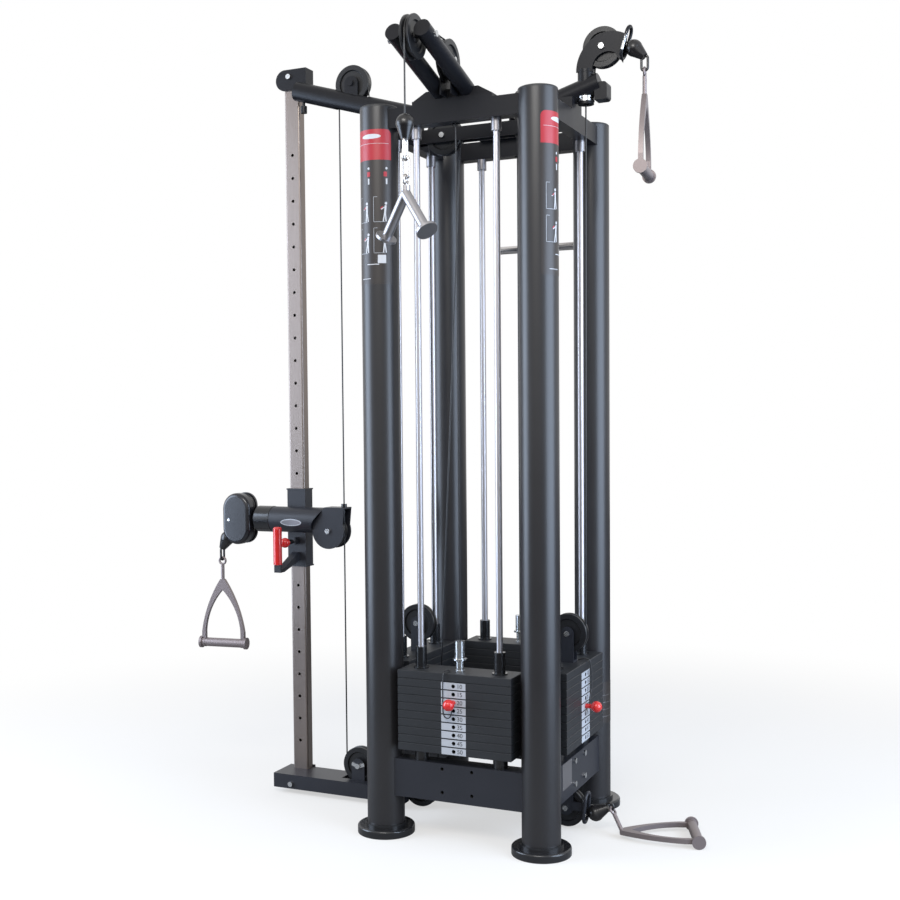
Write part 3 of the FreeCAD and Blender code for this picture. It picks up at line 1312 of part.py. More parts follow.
def pull_eye():
    down = V(0, 0, -1)
    first = ball_tip(pull_ball(), down) + V(0, 0, 8)
    second = first + down * (CHAIN_LINK_L - 4 * WIRE_R - CABLE_GAP)
    return eye_past(second, down, CHAIN_LINK_L)


def hub_top():
    return pull_eye().z - EYE_R - 2 * WIRE_R - HUB_GAP


def swivel_stud():
    """The eye that a bar hangs from, on a headed stud that turns inside the bar's hub."""
    eye_at = pull_eye()
    eye = Part.makeTorus(EYE_R + WIRE_R, WIRE_R, eye_at, V(1, 0, 0))
    neck_top = eye_at.z - EYE_R - WIRE_R
    head_top = hub_top() - STUD_NECK_L
    neck = solid_cyl(V(0, eye_at.y, neck_top), V(0, 0, -1), STUD_R, neck_top - head_top + 1)
    head = solid_cyl(V(0, eye_at.y, head_top), V(0, 0, -1), STUD_HEAD_R, STUD_HEAD_T)
    return joined([eye, neck, head])


def bar_hub():
    """The hub that both bars start from, the room for its stud, and the middle of their arms."""
    eye_at = pull_eye()
    top = V(0, eye_at.y, hub_top())
    down = V(0, 0, -1)
    hub = solid_cyl(top, down, HUB_R, HUB_H)
    neck_room = solid_cyl(top - down, down, STUD_R + AXLE_FIT, STUD_NECK_L + 2)
    head_at = top + down * (STUD_NECK_L - CABLE_GAP)
    head_room = solid_cyl(head_at, down, STUD_HEAD_R + CABLE_GAP, STUD_HEAD_T + 2 * CABLE_GAP)
    return hub, neck_room.fuse(head_room), top + down * (HUB_H - 8)


def v_bar():
    hub, room, apex = bar_hub()
    pieces = [hub]
    for sx in (-1, 1):
        end = apex + V(sx * V_SPAN, 0, -V_DROP)
        along = V(end - apex).normalize()
        pieces.append(rod_between(apex, end, BAR_R))
        pieces.append(solid_cyl(end - along * V_DISC_T, along, V_DISC_R, V_DISC_T))
    pieces.append(Part.makeSphere(BAR_R, apex))
    bar = one_solid(joined(pieces).cut(room))
    bar.rotate(apex, V(0, 0, 1), V_TURN)
    return bar


def straight_bar():
    hub, room, middle = bar_hub()
    reach = V(STRAIGHT_HALF, 0, 0)
    bar = joined([hub, rod_between(middle - reach, middle + reach, BAR_R)])
    return one_solid(bar.cut(room))


def left_way():
    lean = math.radians(LEFT_LEAN)
    return V(-math.sin(lean), 0, -math.cos(lean))


def left_tangent():
    """Where the left cable leaves the lower head pulley."""
    way = left_way()
    return HEAD_X + way.z * SWIVEL_LINE_R, swivel_wheel_z(-1) - way.x * SWIVEL_LINE_R


def left_ball():
    x, z = left_tangent()
    return V(x, 0, z) + left_way() * LEFT_BALL_OUT


def left_end():
    way = left_way()
    x, z = left_tangent()
    line = rod_between(V(x, 0, z) + way * (6 + WELD_GAP), left_ball(), CABLE_R)
    link = link_from(left_link_start(), V(0, 0, -1), V(0, 1, 0), LINK_L)
    return [joined([line, ball_stop(left_ball(), way), link])]


def left_link_start():
    return ball_tip(left_ball(), left_way()) + V(0, 0, 8)


def high_way():
    _, (dx, dz) = head_exit()
    return V(dx, 0, dz)


def high_link_start():
    return ball_tip(V(HIGH_BALL[0], 0, HIGH_BALL[1]), high_way()) + V(0, 0, 8)


def high_end():
    ball = ball_stop(V(HIGH_BALL[0], 0, HIGH_BALL[1]), high_way())
    return [joined([ball, link_from(high_link_start(), V(0, 0, -1), V(1, 0, 0), LINK_L)])]


def low_way():
    _, (dx, dz) = low_exit()
    return V(dx, 0, dz)


def low_ring():
    """Centre of the ring in the low ball's tip."""
    return ball_tip(V(LOW_BALL[0], 0, LOW_BALL[1]), low_way()) + low_way() * EYE_R


def low_end():
    """The low ball and the ring its handle hooks into."""
    ball = ball_stop(V(LOW_BALL[0], 0, LOW_BALL[1]), low_way())
    ring = Part.makeTorus(EYE_R + WIRE_R, WIRE_R, low_ring(), V(0, 1, 0))
    return [joined([ball, ring])]


def low_eye_axis():
    return V(-LOW_SHANK_WAY.z, 0, LOW_SHANK_WAY.x).normalize()


def low_eye():
    """The shank's eye hangs in the ring, two wires lower."""
    drop = V(LOW_SHANK_WAY.x, 0, LOW_SHANK_WAY.z).normalize()
    return low_ring() + drop * (2 * EYE_R - 2 * CABLE_GAP)


def low_stirrup():
    """The same handle, its shank bent down and its bow laid on the floor on its discs."""
    way = V(LOW_SHANK_WAY).normalize()
    apex = low_eye() + way * SHANK_L
    dip = math.degrees(math.asin((apex.z - GRIP_DISC_R) / BOW_TALL))
    laid = []
    for piece in bow() + [bow_grip()]:
        piece.rotate(V(0, 0, 0), V(1, 0, 0), 90 - dip)
        laid.append(piece)
    laid = hung(laid, apex, LOW_TURN - 90)
    return [joined(laid[:-1] + shank(low_eye(), way, low_eye_axis())), laid[-1]]


# ---- everything, by file ----
def everything():
    parts = {}
    corners = {
        "front_left": (-1, -1),
        "front_right": (1, -1),
        "rear_right": (1, 1),
        "rear_left": (-1, 1),
    }
    for name, (sx, sy) in corners.items():
        parts["column_" + name] = column(sx, sy)
    parts["lower_frame"] = lower_frame()
    parts["upper_frame"] = upper_frame()
    parts["top_pulleys"] = top_pulleys()
    sides = {"front": 0, "right": 90, "rear": 180, "left": 270}
    rods = guide_rods()
    parts["resting_plates"] = []
    for side, angle in sides.items():
        parts["guide_rods_" + side] = [turned(r, angle) for r in rods]
        count = LIFTED[side]
        parts["resting_plates"] += [turned(p, angle) for p in resting_stack(count)]
        lifted = lifted_stack(side in ("left", "right"), count)
        parts["lifted_stack_" + side] = [turned(p, angle) for p in lifted]
        parts["selector_pin_" + side] = [turned(selector_pin(count), angle)]
    front_cord = cord(looped_lanyard(LIFTED["front"]), LANYARD_R)
    right_cord = cord(straight_lanyard(LIFTED["right"]), LANYARD_R)
    parts["pin_lanyard_front"] = [front_cord]
    parts["pin_lanyard_right"] = [turned(right_cord, sides["right"])]
    for side in ("front", "rear"):
        angle = sides[side]
        parts[side + "_arms"] = [turned(arms(), angle)]
        parts[side + "_nose_pulley"] = [turned(nose_pulley(), angle)]
        parts[side + "_inner_pulley"] = [turned(inner_pulley(), angle)]
        parts["lift_cable_" + side] = [turned(lifted_arm_cable(), angle)]
        parts[side + "_cable_end"] = [turned(p, angle) for p in pull_end()]
    parts["v_bar"] = [v_bar()]
    parts["straight_bar"] = [turned(straight_bar(), 180)]
    fixed = [arm_cable(), turned(arm_cable(), 180), left_cable(), right_cable()]
    parts["fixed_cables"] = fixed
    parts["lift_cable_left"] = [lifted_side_cable(-1)]
    parts["lift_cable_right"] = [lifted_side_cable(1)]
    parts["floating_pulley_left"] = [floating_pulley(-1)]
    parts["floating_pulley_right"] = [floating_pulley(1)]
    parts["left_floor_pulley"] = [floor_pulley(-1)]
    parts["right_floor_pulley"] = [floor_pulley(1)]
    parts["base_beam"] = [base_beam()]
    parts["upright"] = [upright()]
    parts["top_arm"] = [top_arm()]
    top_wheel = pulley(V(OUTRIGGER_X, 0, OUTRIGGER_TOP_Z), V(0, 1, 0), PULLEY_LINE_R, PULLEY_RIM, PULLEY_W)
    base_wheel = pulley(V(OUTRIGGER_X, 0, OUTRIGGER_BASE_Z), V(0, 1, 0), PULLEY_LINE_R, PULLEY_RIM, PULLEY_W)
    parts["outrigger_top_pulley"] = [top_wheel]
    parts["outrigger_base_pulley"] = [base_wheel]
    parts["carriage"] = [cut_pop_bore(carriage()), lever_grip(), carriage_cable()]
    parts["carriage_pulley"] = [carriage_pulley()]
    parts["pop_pin"] = [pop_pin()]
    parts["swivel_head"] = [swivel_head(), swivel_cable()]
    parts["swivel_pulleys"] = swivel_pulleys()
    parts["left_cable_end"] = left_end()
    parts["left_stirrup"] = hanging_stirrup(eye_past(left_link_start(), V(0, 0, -1), LINK_L), LEFT_TURN)
    parts["right_arm"] = [right_arm()]
    parts["right_head"] = [right_head(), head_cable()]
    parts["right_head_pulley"] = [head_pulley()]
    parts["high_cable_end"] = high_end()
    parts["high_stirrup"] = hanging_stirrup(eye_past(high_link_start(), V(0, 0, -1), LINK_L), HIGH_TURN)
    parts["low_cable_end"] = low_end()
    parts["low_stirrup"] = low_stirrup()
    return parts


def main():
    parts = everything()
    whole = Part.makeCompound([p for pieces in parts.values() for p in pieces])
    box = whole.optimalBoundingBox(False, False)
    shift = V(-(box.XMin + box.XMax) / 2, -(box.YMin + box.YMax) / 2, -box.ZMin)
    print("tower centre at", round(shift.x, 3), round(shift.y, 3), round(shift.z, 3))
    print("size", round(box.XLength, 1), round(box.YLength, 1), round(box.ZLength, 1))
    for name, pieces in parts.items():
        shape = pieces[0] if len(pieces) == 1 else Part.makeCompound(pieces)
        shape.translate(shift)
        if not shape.isValid():
            print("invalid", name)
        shape.exportStep("parts/" + name + ".step")
    print(len(parts), "files")


main()
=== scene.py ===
# %% [markdown]
# # A cable crossover tower, dressed around its CAD frame
# The CAD model is loaded first and is never moved. Every length that Blender keeps is in
# metres, in the CAD's own frame. The tower's axis is found from its four columns, and
# everything else is placed from it.

# %% Load the frame and find the tower
import math

import bpy
import bmesh
from mathutils import Matrix, Vector


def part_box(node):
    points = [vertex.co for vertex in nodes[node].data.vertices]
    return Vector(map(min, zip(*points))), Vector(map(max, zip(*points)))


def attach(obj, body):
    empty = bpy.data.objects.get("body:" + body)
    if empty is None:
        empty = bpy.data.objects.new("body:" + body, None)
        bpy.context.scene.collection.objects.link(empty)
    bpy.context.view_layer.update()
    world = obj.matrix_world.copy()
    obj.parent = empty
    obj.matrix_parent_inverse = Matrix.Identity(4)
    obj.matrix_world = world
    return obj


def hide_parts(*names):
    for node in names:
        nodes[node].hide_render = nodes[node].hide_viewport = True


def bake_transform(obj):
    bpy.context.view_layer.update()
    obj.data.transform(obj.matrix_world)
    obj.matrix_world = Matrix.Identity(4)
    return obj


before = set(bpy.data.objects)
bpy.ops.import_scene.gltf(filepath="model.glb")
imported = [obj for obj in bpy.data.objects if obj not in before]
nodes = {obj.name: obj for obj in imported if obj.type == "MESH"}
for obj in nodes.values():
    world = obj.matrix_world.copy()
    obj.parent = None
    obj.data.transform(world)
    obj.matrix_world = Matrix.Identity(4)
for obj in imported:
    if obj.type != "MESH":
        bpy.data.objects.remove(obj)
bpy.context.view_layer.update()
low_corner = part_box("column_front_left")[0]
high_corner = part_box("column_rear_right")[1]
TOWER = Vector(((low_corner.x + high_corner.x) / 2, (low_corner.y + high_corner.y) / 2, 0))
scene = bpy.context.scene
print("tower axis at", tuple(round(c, 4) for c in TOWER), "with", len(nodes), "CAD nodes")

# %% [markdown]
# ## Places on the tower
# The weight stacks stand on the tower's four sides. Seen from above, the rods, plates
# and pin of each are those of the front one, turned by quarters. So a place is given
# once, in millimetres from the tower's axis on the floor, and is turned for the others.

# %% Points in millimetres and quarter turns
MM = 1000.0
STATIONS = {"front": 0, "right": 90, "rear": 180, "left": 270}


def at(x, y, z):
    """A point given in millimetres from the tower's axis on the floor."""
    return TOWER + Vector((x, y, z)) / MM


def turned(point, degrees):
    """A point in millimetres turned about the tower's axis, as each stack is."""
    a = math.radians(degrees)
    x, y, z = point
    return (x * math.cos(a) - y * math.sin(a), x * math.sin(a) + y * math.cos(a), z)


print("stacks at", ", ".join(STATIONS))

# %% [markdown]
# ## Camera
# The camera stands in front and to the right, a little above chest height. It is given
# by its place, its heading, its tilt down and a slight roll, from which its three axes
# follow. A small lens shift moves the picture without turning the camera.

# %% Camera
CAMERA_AT = (1504.4, -3747.4, 1333.8)
HEADING = math.radians(24.6204)
DOWN = math.radians(2.5589)
ROLL = math.radians(-0.5063)
SENSOR, LENS = 36, 49.114
SHIFT = (0.0201, 0.0228)

ahead = Vector(
    (-math.sin(HEADING) * math.cos(DOWN), math.cos(HEADING) * math.cos(DOWN), -math.sin(DOWN))
)
level_way = Vector((math.cos(HEADING), math.sin(HEADING), 0))
upward = level_way.cross(ahead)
right_way = level_way * math.cos(ROLL) + upward * math.sin(ROLL)
up_way = -level_way * math.sin(ROLL) + upward * math.cos(ROLL)
axes = Matrix((right_way, up_way, -ahead)).transposed().to_4x4()

camera_data = bpy.data.cameras.new("camera")
camera_data.sensor_width = SENSOR
camera_data.lens = LENS
camera_data.shift_x, camera_data.shift_y = SHIFT
camera = bpy.data.objects.new("camera", camera_data)
camera.matrix_world = Matrix.Translation(at(*CAMERA_AT)) @ axes
scene.collection.objects.link(camera)
scene.camera = camera
print("camera at", tuple(round(c, 3) for c in camera.location), "lens", camera_data.lens)

# %% [markdown]
# ## Building materials
# Every finish is a small node graph: two noises in object space drive colour, roughness
# and a fine bump, so each surface has grain at its real size and no picture is needed.
# A constant, such as how metallic a surface is, stays on the shader's own socket.

# %% A helper for shader nodes
BROAD_NOISE = 6.0
COAT_ROUGH = 0.12
ROUGH_SPREAD = 0.06


def add(tree, kind, settings=(), **properties):
    """A new shader node with its input values and its own properties."""
    node = tree.nodes.new("ShaderNode" + kind)
    for name, value in properties.items():
        setattr(node, name, value)
    for socket, value in dict(settings).items():
        node.inputs[socket].default_value = value
    return node


def grain_noise(tree, grain, stretch):
    """A fine noise and a broad one in object space, and the mean of the two."""
    link = tree.links.new
    place = add(tree, "TexCoord")
    scale = add(tree, "Mapping", {"Scale": stretch})
    link(place.outputs["Object"], scale.inputs["Vector"])
    fine = add(tree, "TexNoise", {"Scale": grain, "Detail": 3})
    broad = add(tree, "TexNoise", {"Scale": BROAD_NOISE, "Detail": 4})
    link(scale.outputs["Vector"], fine.inputs["Vector"])
    link(scale.outputs["Vector"], broad.inputs["Vector"])
    half = add(tree, "Math", {1: 0.5}, operation="MULTIPLY")
    link(broad.outputs["Fac"], half.inputs[0])
    both = add(tree, "Math", {1: 0.5}, operation="MULTIPLY_ADD")
    link(fine.outputs["Fac"], both.inputs[0])
    link(half.outputs[0], both.inputs[2])
    return fine.outputs["Fac"], both.outputs[0]


print("two noises, the broad one at scale", BROAD_NOISE)

# %% [markdown]
# The finish itself takes a colour, a roughness and how far both may wander. The ramp
# keeps the colour between a darker and a lighter tone, and the bump is a fraction of a
# millimetre, so that it shows only in the highlights.


# %% One finish
def finish(
    name,
    colour,
    rough,
    metal=0.0,
    grain=900.0,
    vary=0.25,
    bump=0.02,
    stretch=(1, 1, 1),
    coat=0.0,
    shine=0.5,
):
    """A principled material whose colour, roughness and height vary with two noises."""
    material = bpy.data.materials.new(name)
    material.use_nodes = True
    tree = material.node_tree
    link = tree.links.new
    shader = tree.nodes["Principled BSDF"]
    shader.inputs["Metallic"].default_value = metal
    shader.inputs["Coat Weight"].default_value = coat
    shader.inputs["Specular IOR Level"].default_value = shine
    shader.inputs["Coat Roughness"].default_value = COAT_ROUGH
    fine, both = grain_noise(tree, grain, stretch)
    ramp = add(tree, "ValToRGB")
    darker, lighter = ramp.color_ramp.elements
    darker.position, lighter.position = 0.3, 0.7
    darker.color = (*[c * (1 - vary) for c in colour], 1)
    lighter.color = (*[min(1, c * (1 + vary)) for c in colour], 1)
    link(both, ramp.inputs["Fac"])
    link(ramp.outputs["Color"], shader.inputs["Base Color"])
    limits = {"To Min": max(0.02, rough - ROUGH_SPREAD), "To Max": min(1, rough + ROUGH_SPREAD)}
    spread = add(tree, "MapRange", limits)
    link(both, spread.inputs["Value"])
    link(spread.outputs["Result"], shader.inputs["Roughness"])
    lift = add(tree, "Bump", {"Strength": bump, "Distance": 0.001})
    link(fine, lift.inputs["Height"])
    link(lift.outputs["Normal"], shader.inputs["Normal"])
    return material


print("roughness wanders by", ROUGH_SPREAD, "to either side")

# %% [markdown]
# ## Powder coats and paint
# Columns and beams are powder coated: satin, with the faint orange peel of a baked coat.
# The beams above are a shade darker and duller than those below. The weight plates are
# painted blocks, rougher than the coats, and the foot plates are smooth and shiny.

# %% Dark coats
satin_coat = finish("satin_coat", (0.016, 0.015, 0.016), 0.34, grain=700, vary=0.12, bump=0.04)
frame_coat = finish(
    "frame_coat", (0.018, 0.019, 0.024), 0.38, grain=700, vary=0.14, bump=0.05, shine=0.35
)
upper_coat = finish(
    "upper_coat", (0.010, 0.010, 0.012), 0.36, grain=700, vary=0.14, bump=0.05, shine=0.2
)
foot_coat = finish("foot_coat", (0.012, 0.012, 0.013), 0.22, grain=500, vary=0.15, bump=0.03)
cap_plastic = finish("cap_plastic", (0.014, 0.014, 0.015), 0.5, grain=900, vary=0.2, bump=0.08)
plate_coat = finish(
    "plate_coat", (0.013, 0.014, 0.016), 0.5, grain=500, vary=0.22, bump=0.12, shine=0.4
)
print("six dark coats")

# %% [markdown]
# ## Bare and plated metal
# Guide rods are satin chrome. The tall upright is plated and brushed along its length,
# so its noise is stretched upwards. Bolts and stems are zinc plated, handles are cast
# or polished, and the rods' collars are a duller steel.

# %% Metals
ALONG_Z = (1, 1, 0.02)
rod_chrome = finish(
    "rod_chrome", (0.43, 0.415, 0.43), 0.38, metal=1.0, grain=400, vary=0.03, bump=0.001
)
plated_steel = finish(
    "plated_steel",
    (0.22, 0.185, 0.165),
    0.34,
    metal=0.9,
    grain=500,
    vary=0.10,
    bump=0.02,
    stretch=ALONG_Z,
)
zinc_steel = finish(
    "zinc_steel", (0.58, 0.59, 0.60), 0.26, metal=1.0, grain=500, vary=0.10, bump=0.03
)
bright_steel = finish(
    "bright_steel", (0.58, 0.56, 0.55), 0.22, metal=1.0, grain=300, vary=0.05, bump=0.01
)
collar_steel = finish(
    "collar_steel", (0.26, 0.25, 0.26), 0.38, metal=0.9, grain=500, vary=0.08, bump=0.02
)
satin_alloy = finish(
    "satin_alloy", (0.33, 0.32, 0.33), 0.36, metal=0.95, grain=600, vary=0.06, bump=0.02
)
cast_alloy = finish(
    "cast_alloy", (0.235, 0.20, 0.198), 0.46, metal=0.7, grain=900, vary=0.03, bump=0.004
)
print("seven metals")

# %% [markdown]
# ## Plastic and rubber
# Pulleys, bushes, covers and ball stops are black moulded plastic or rubber, each with
# its own gloss. The knobs and the lever's grip are the one glossy red on the machine.

# %% Plastics and rubbers
pulley_plastic = finish(
    "pulley_plastic", (0.010, 0.010, 0.011), 0.34, grain=300, vary=0.2, bump=0.04, shine=0.4
)
shell_plastic = finish(
    "shell_plastic", (0.012, 0.012, 0.015), 0.24, grain=300, vary=0.15, bump=0.02
)
bush_plastic = finish("bush_plastic", (0.010, 0.010, 0.011), 0.2, grain=400, vary=0.2, bump=0.02)
cable_coat = finish("cable_coat", (0.008, 0.008, 0.009), 0.32, grain=1500, vary=0.2, bump=0.08)
cord_rubber = finish("cord_rubber", (0.014, 0.014, 0.015), 0.5, grain=1200, vary=0.2, bump=0.1)
stop_rubber = finish("stop_rubber", (0.011, 0.010, 0.010), 0.30, grain=800, vary=0.2, bump=0.04)
red_plastic = finish(
    "red_plastic", (0.62, 0.020, 0.018), 0.24, grain=250, vary=0.08, bump=0.02, coat=0.3
)
print("seven plastics and rubbers")

# %% [markdown]
# ## Printed films and painted shade
# Labels are thin printed film, flatter than plastic and nearly without bump. The bolt
# holes get painted shade: a near-black colour of their own for the inside of a recess.

# %% Prints and painted shade in holes
label_red = finish("label_red", (0.40, 0.016, 0.026), 0.4, grain=900, vary=0.05, bump=0.01)
label_dark = finish("label_dark", (0.022, 0.017, 0.015), 0.40, grain=900, vary=0.08, bump=0.01)
label_white = finish("label_white", (0.60, 0.60, 0.61), 0.45, grain=900, vary=0.05, bump=0.01)
label_grey = finish("label_grey", (0.42, 0.43, 0.45), 0.45, grain=600, vary=0.08, bump=0.02)
ink_black = finish("ink_black", (0.012, 0.012, 0.013), 0.5, grain=900, vary=0.2, bump=0.01)
# Painted shade: near black for the insides of the bolt holes, darker than the coat.
hole_dark = finish("hole_dark", (0.006, 0.006, 0.006), 0.8, grain=300, vary=0.2, bump=0.02)
print(len(bpy.data.materials), "materials so far")

# %% [markdown]
# ## Dressing the CAD nodes
# Most nodes are one finish. Where a node holds pieces of two finishes, such as a black
# plate with a zinc-plated stem, its faces are sorted by where they lie. A test looks at
# the middle of each face, in millimetres from the axis. Tests are built from small
# parts: above a height, off the middle plane, about a place, near an upright line.

# %% Tests on a face's middle
BOLT_REACH = 10.0


def above(axis, value):
    """Further along an axis than a value."""
    return lambda p: getattr(p, axis) > value


def below(axis, value):
    """Less far along an axis than a value."""
    return lambda p: getattr(p, axis) < value


def off(axis, low, high=math.inf):
    """Between two distances from the tower's middle plane, on either side of it."""
    return lambda p: low < abs(getattr(p, axis)) < high


def about(axis, value, reach=BOLT_REACH):
    """Within reach of a value along an axis."""
    return lambda p: abs(getattr(p, axis) - value) < reach


def near(x, y, r):
    """Within r of an upright line."""
    return lambda p: (p.x - x) ** 2 + (p.y - y) ** 2 < r * r


def every(*tests):
    """All the tests hold."""
    return lambda p: all(test(p) for test in tests)


def some(*tests):
    """At least one of the tests holds."""
    return lambda p: any(test(p) for test in tests)


print("a face counts as on a bolt within", BOLT_REACH, "mm of its middle")

# %% [markdown]
# A node takes its main finish on every face first. Then each pair of a finish and a test
# is tried in turn, so that a later pair covers an earlier one, as a later coat would.


# %% Give a node its finishes
def paint(name, main, *others):
    """Main finish for a node, then (material, test) pairs. A later pair wins."""
    mesh = nodes[name].data
    mesh.materials.clear()
    mesh.materials.append(main)
    for material, _ in others:
        mesh.materials.append(material)
    for face in mesh.polygons:
        point = (face.center - TOWER) * MM
        face.material_index = 0
        for index, (_, test) in enumerate(others):
            if test(point):
                face.material_index = index + 1


print("painter ready for", len(nodes), "nodes")

# %% [markdown]
# ## The tower
# The columns carry a foot plate below and a plastic cap above. Bolt heads on the beams
# are zinc plated, and the four bolt holes in the front lower beam get painted shade:
# their insides are coloured almost black.

# %% Columns, beams and rods
COLUMN_AT, COLUMN_R = 264, 60.0
FOOT_TOP, CAP_LOW, COLLAR_LOW = 35.5, 2291.5, 2187.5
BOLT_SIDE = (19.6, 28)
HOLE_X, HOLE_MID_Z, HOLE_RISE, HOLE_REACH = 50, 196, 37, 6

for name in ("front_left", "front_right", "rear_right", "rear_left"):
    foot = (foot_coat, below("z", FOOT_TOP))
    cap = (cap_plastic, above("z", CAP_LOW))
    paint("column_" + name, satin_coat, foot, cap)


def front_bolt_hole(p):
    across = abs(abs(p.x) - HOLE_X) < HOLE_REACH
    upright = abs(abs(p.z - HOLE_MID_Z) - HOLE_RISE) < HOLE_REACH
    return -299.9 < p.y < -235 and across and upright


paint("upper_frame", upper_coat, (zinc_steel, every(off("y", 23.3, 31), about("z", 2254))))
paint(
    "lower_frame",
    frame_coat,
    (zinc_steel, every(above("x", 300.3), above("z", 145))),
    (zinc_steel, every(off("y", *BOLT_SIDE), about("z", 67), off("x", 248, 272))),
    # Painted shade inside the four bolt holes.
    (hole_dark, front_bolt_hole),
)
for side in STATIONS:
    paint("guide_rods_" + side, rod_chrome, (collar_steel, above("z", COLLAR_LOW)))
print("four columns, two rings of beams and eight rods")

# %% [markdown]
# ## The weight stacks
# On each top plate stand two black bushes that slide on the rods. The front and rear
# stacks hang from a zinc stem, and the side stacks from a bracket with a pulley. The
# selector pins have a steel shank and a red knob.

# %% Stacks and pins
STACK_LINE, ROD_OFFSET = -267, 133
ABOVE_PLATES, BELOW_PLATES, SHANK_START = 540.3, 285.5, -322.5
BUSH_REACH, STEM_REACH = 24.5, 23


def on_shank(angle):
    """On the steel shank of a pin, which lies behind its red knob."""
    return lambda p: turned(p, -angle)[1] > SHANK_START


for side, angle in STATIONS.items():
    stem = turned((0, STACK_LINE, 0), angle)
    rods = [turned((s * ROD_OFFSET, STACK_LINE, 0), angle) for s in (-1, 1)]
    over_rods = some(*[near(rod[0], rod[1], BUSH_REACH) for rod in rods])
    bushes = (bush_plastic, every(above("z", ABOVE_PLATES), over_rods))
    if side in ("front", "rear"):
        at_stem = every(above("z", ABOVE_PLATES), near(stem[0], stem[1], STEM_REACH))
        paint("lifted_stack_" + side, plate_coat, bushes, (zinc_steel, at_stem))
    else:
        bracket = every(above("z", ABOVE_PLATES), about("y", 0, 20))
        bolt_head = every(off("y", *BOLT_SIDE), about("z", 633), off("x", 255, 279))
        paint(
            "lifted_stack_" + side,
            plate_coat,
            bushes,
            (frame_coat, bracket),
            (zinc_steel, bolt_head),
        )
    paint("selector_pin_" + side, red_plastic, (bright_steel, on_shank(angle)))
paint("resting_plates", plate_coat, (stop_rubber, below("z", BELOW_PLATES)))
print("four stacks and their pins")

# %% [markdown]
# ## Arms and cable ends above the front and rear
# Each pair of arms carries a nose pulley on a long bolt and a small pulley behind it.
# A cable end is a rubber stop with steel links under it.

# %% Front and rear arms
LINKS_TOP, STOP_TOP = 2106, 2176.5

for side, way in (("front", -1), ("rear", 1)):
    nose_bolt = every(off("x", 44.5), about("y", way * 568), about("z", 2402))
    inner_bolt = every(off("x", *BOLT_SIDE), about("y", way * 323), about("z", 2398))
    paint(side + "_arms", upper_coat, (zinc_steel, nose_bolt), (zinc_steel, inner_bolt))
    links = (bright_steel, below("z", LINKS_TOP))
    rope = (cable_coat, above("z", STOP_TOP))
    paint(side + "_cable_end", stop_rubber, links, rope)
print("two pairs of arms and their cable ends")

# %% [markdown]
# ## The outrigger and the right arm
# The carriage has the most finishes: its lever has a red grip over a flat bar, the
# cable enters through a small bush, and its pulley turns on a zinc bolt. The bar runs
# through the grip, so its own faces are told apart by their flat sides.

# %% Outrigger, carriage and heads
LEVER_X, LEVER_HALF, BAR_TOP = -752, 13.2, 944
LEVER_Y = (-118, -109.5)
GRIP_FRONT, GRIP_Z = -98, (821, 954)


def on_lever_bar(p):
    return abs(p.x - LEVER_X) < LEVER_HALF and LEVER_Y[0] < p.y < LEVER_Y[1] and p.z < BAR_TOP


def on_grip(p):
    return p.y < GRIP_FRONT and GRIP_Z[0] < p.z < GRIP_Z[1] and not on_lever_bar(p)


def entering_cable(p):
    return abs(p.y) < 2.6 and p.x > -640 and 960 < p.z < 992


paint(
    "base_beam",
    frame_coat,
    (zinc_steel, below("y", -60.1)),
    (zinc_steel, every(off("y", 25, 33), about("z", 120))),
)
paint("upright", plated_steel)
top_bolt = every(below("y", 14.8), above("z", 2500), below("x", -740))
paint("top_arm", upper_coat, (zinc_steel, top_bolt))
paint(
    "carriage",
    frame_coat,
    (red_plastic, on_grip),
    (zinc_steel, every(off("y", 28.2), about("x", -600), about("z", 935))),
    (cable_coat, entering_cable),
    (bush_plastic, every(above("z", 1018.3), above("x", -570))),
)
paint(
    "pop_pin",
    bright_steel,
    (red_plastic, below("y", -46)),
    (bush_plastic, lambda p: -46 <= p.y < -16),
)
paint(
    "swivel_head", shell_plastic, (zinc_steel, below("y", -51.2)), (cable_coat, about("y", 0, 3))
)
print("outrigger dressed")

# %% [markdown]
# The right arm reaches out over the tower's side. Its head turns on an upright pin,
# whose nut is zinc plated, and the pull cable passes through the head's middle plane.

# %% Right arm and its head
nut = every(near(330, 0, 28), above("z", 2310), below("z", 2327))
paint("right_arm", upper_coat, (zinc_steel, nut))
paint(
    "right_head",
    upper_coat,
    (zinc_steel, every(off("y", *BOLT_SIDE), about("z", 2472))),
    (cable_coat, about("y", 0, 3)),
)
print("right arm dressed")

# %% [markdown]
# ## Nodes of one finish
# Pulleys, cables, stops and handles take one finish each.

# %% Pulleys, cables and handles
for name in nodes:
    if "pulley" in name:
        paint(name, pulley_plastic)
paint("fixed_cables", cable_coat)
for side in STATIONS:
    paint("lift_cable_" + side, cable_coat)
for place in ("left", "high", "low"):
    paint(place + "_cable_end", stop_rubber)
    paint(place + "_stirrup", cast_alloy)
paint("v_bar", satin_alloy)
paint("straight_bar", bright_steel)
paint("pin_lanyard_front", cord_rubber)
paint("pin_lanyard_right", cord_rubber)
print("dressed", len(nodes), "nodes")

# %% [markdown]
# ## Pin cords
# Each cord ties a selector pin to its stack, so that the pin isn't lost. It is one
# smooth curve through a few control points, over the top plate's front edge and down
# to the pin's neck. The front one hangs in a loop below the pin.

# %% Routes of the two cords
CORD_R = 0.002
CORDS = {
    "front": (
        0.2382,
        [
            (-26, -289, 541.9),
            (-29, -326, 554.6),
            (-31, -332, 514.6),
            (-31, -332, 459.25),
            (-30, -333, 403.9),
            (0, -334, 403.9),
            (0, -334, 442.6),
        ],
    ),
    "right": (
        0.1861,
        [
            (26, -289, 541.9),
            (29, -326, 554.6),
            (31, -332, 514.6),
            (30, -333, 479.85),
            (26, -334, 445.1),
            (4, -334, 430.1),
            (0, -334, 408.4),
        ],
    ),
}
print("routes for", ", ".join(CORDS))

# %% [markdown]
# A cord is a round bevel on a curve of order three, which keeps its bends soft. The
# curve touches its first and last points, so both knots sit where they are tied.


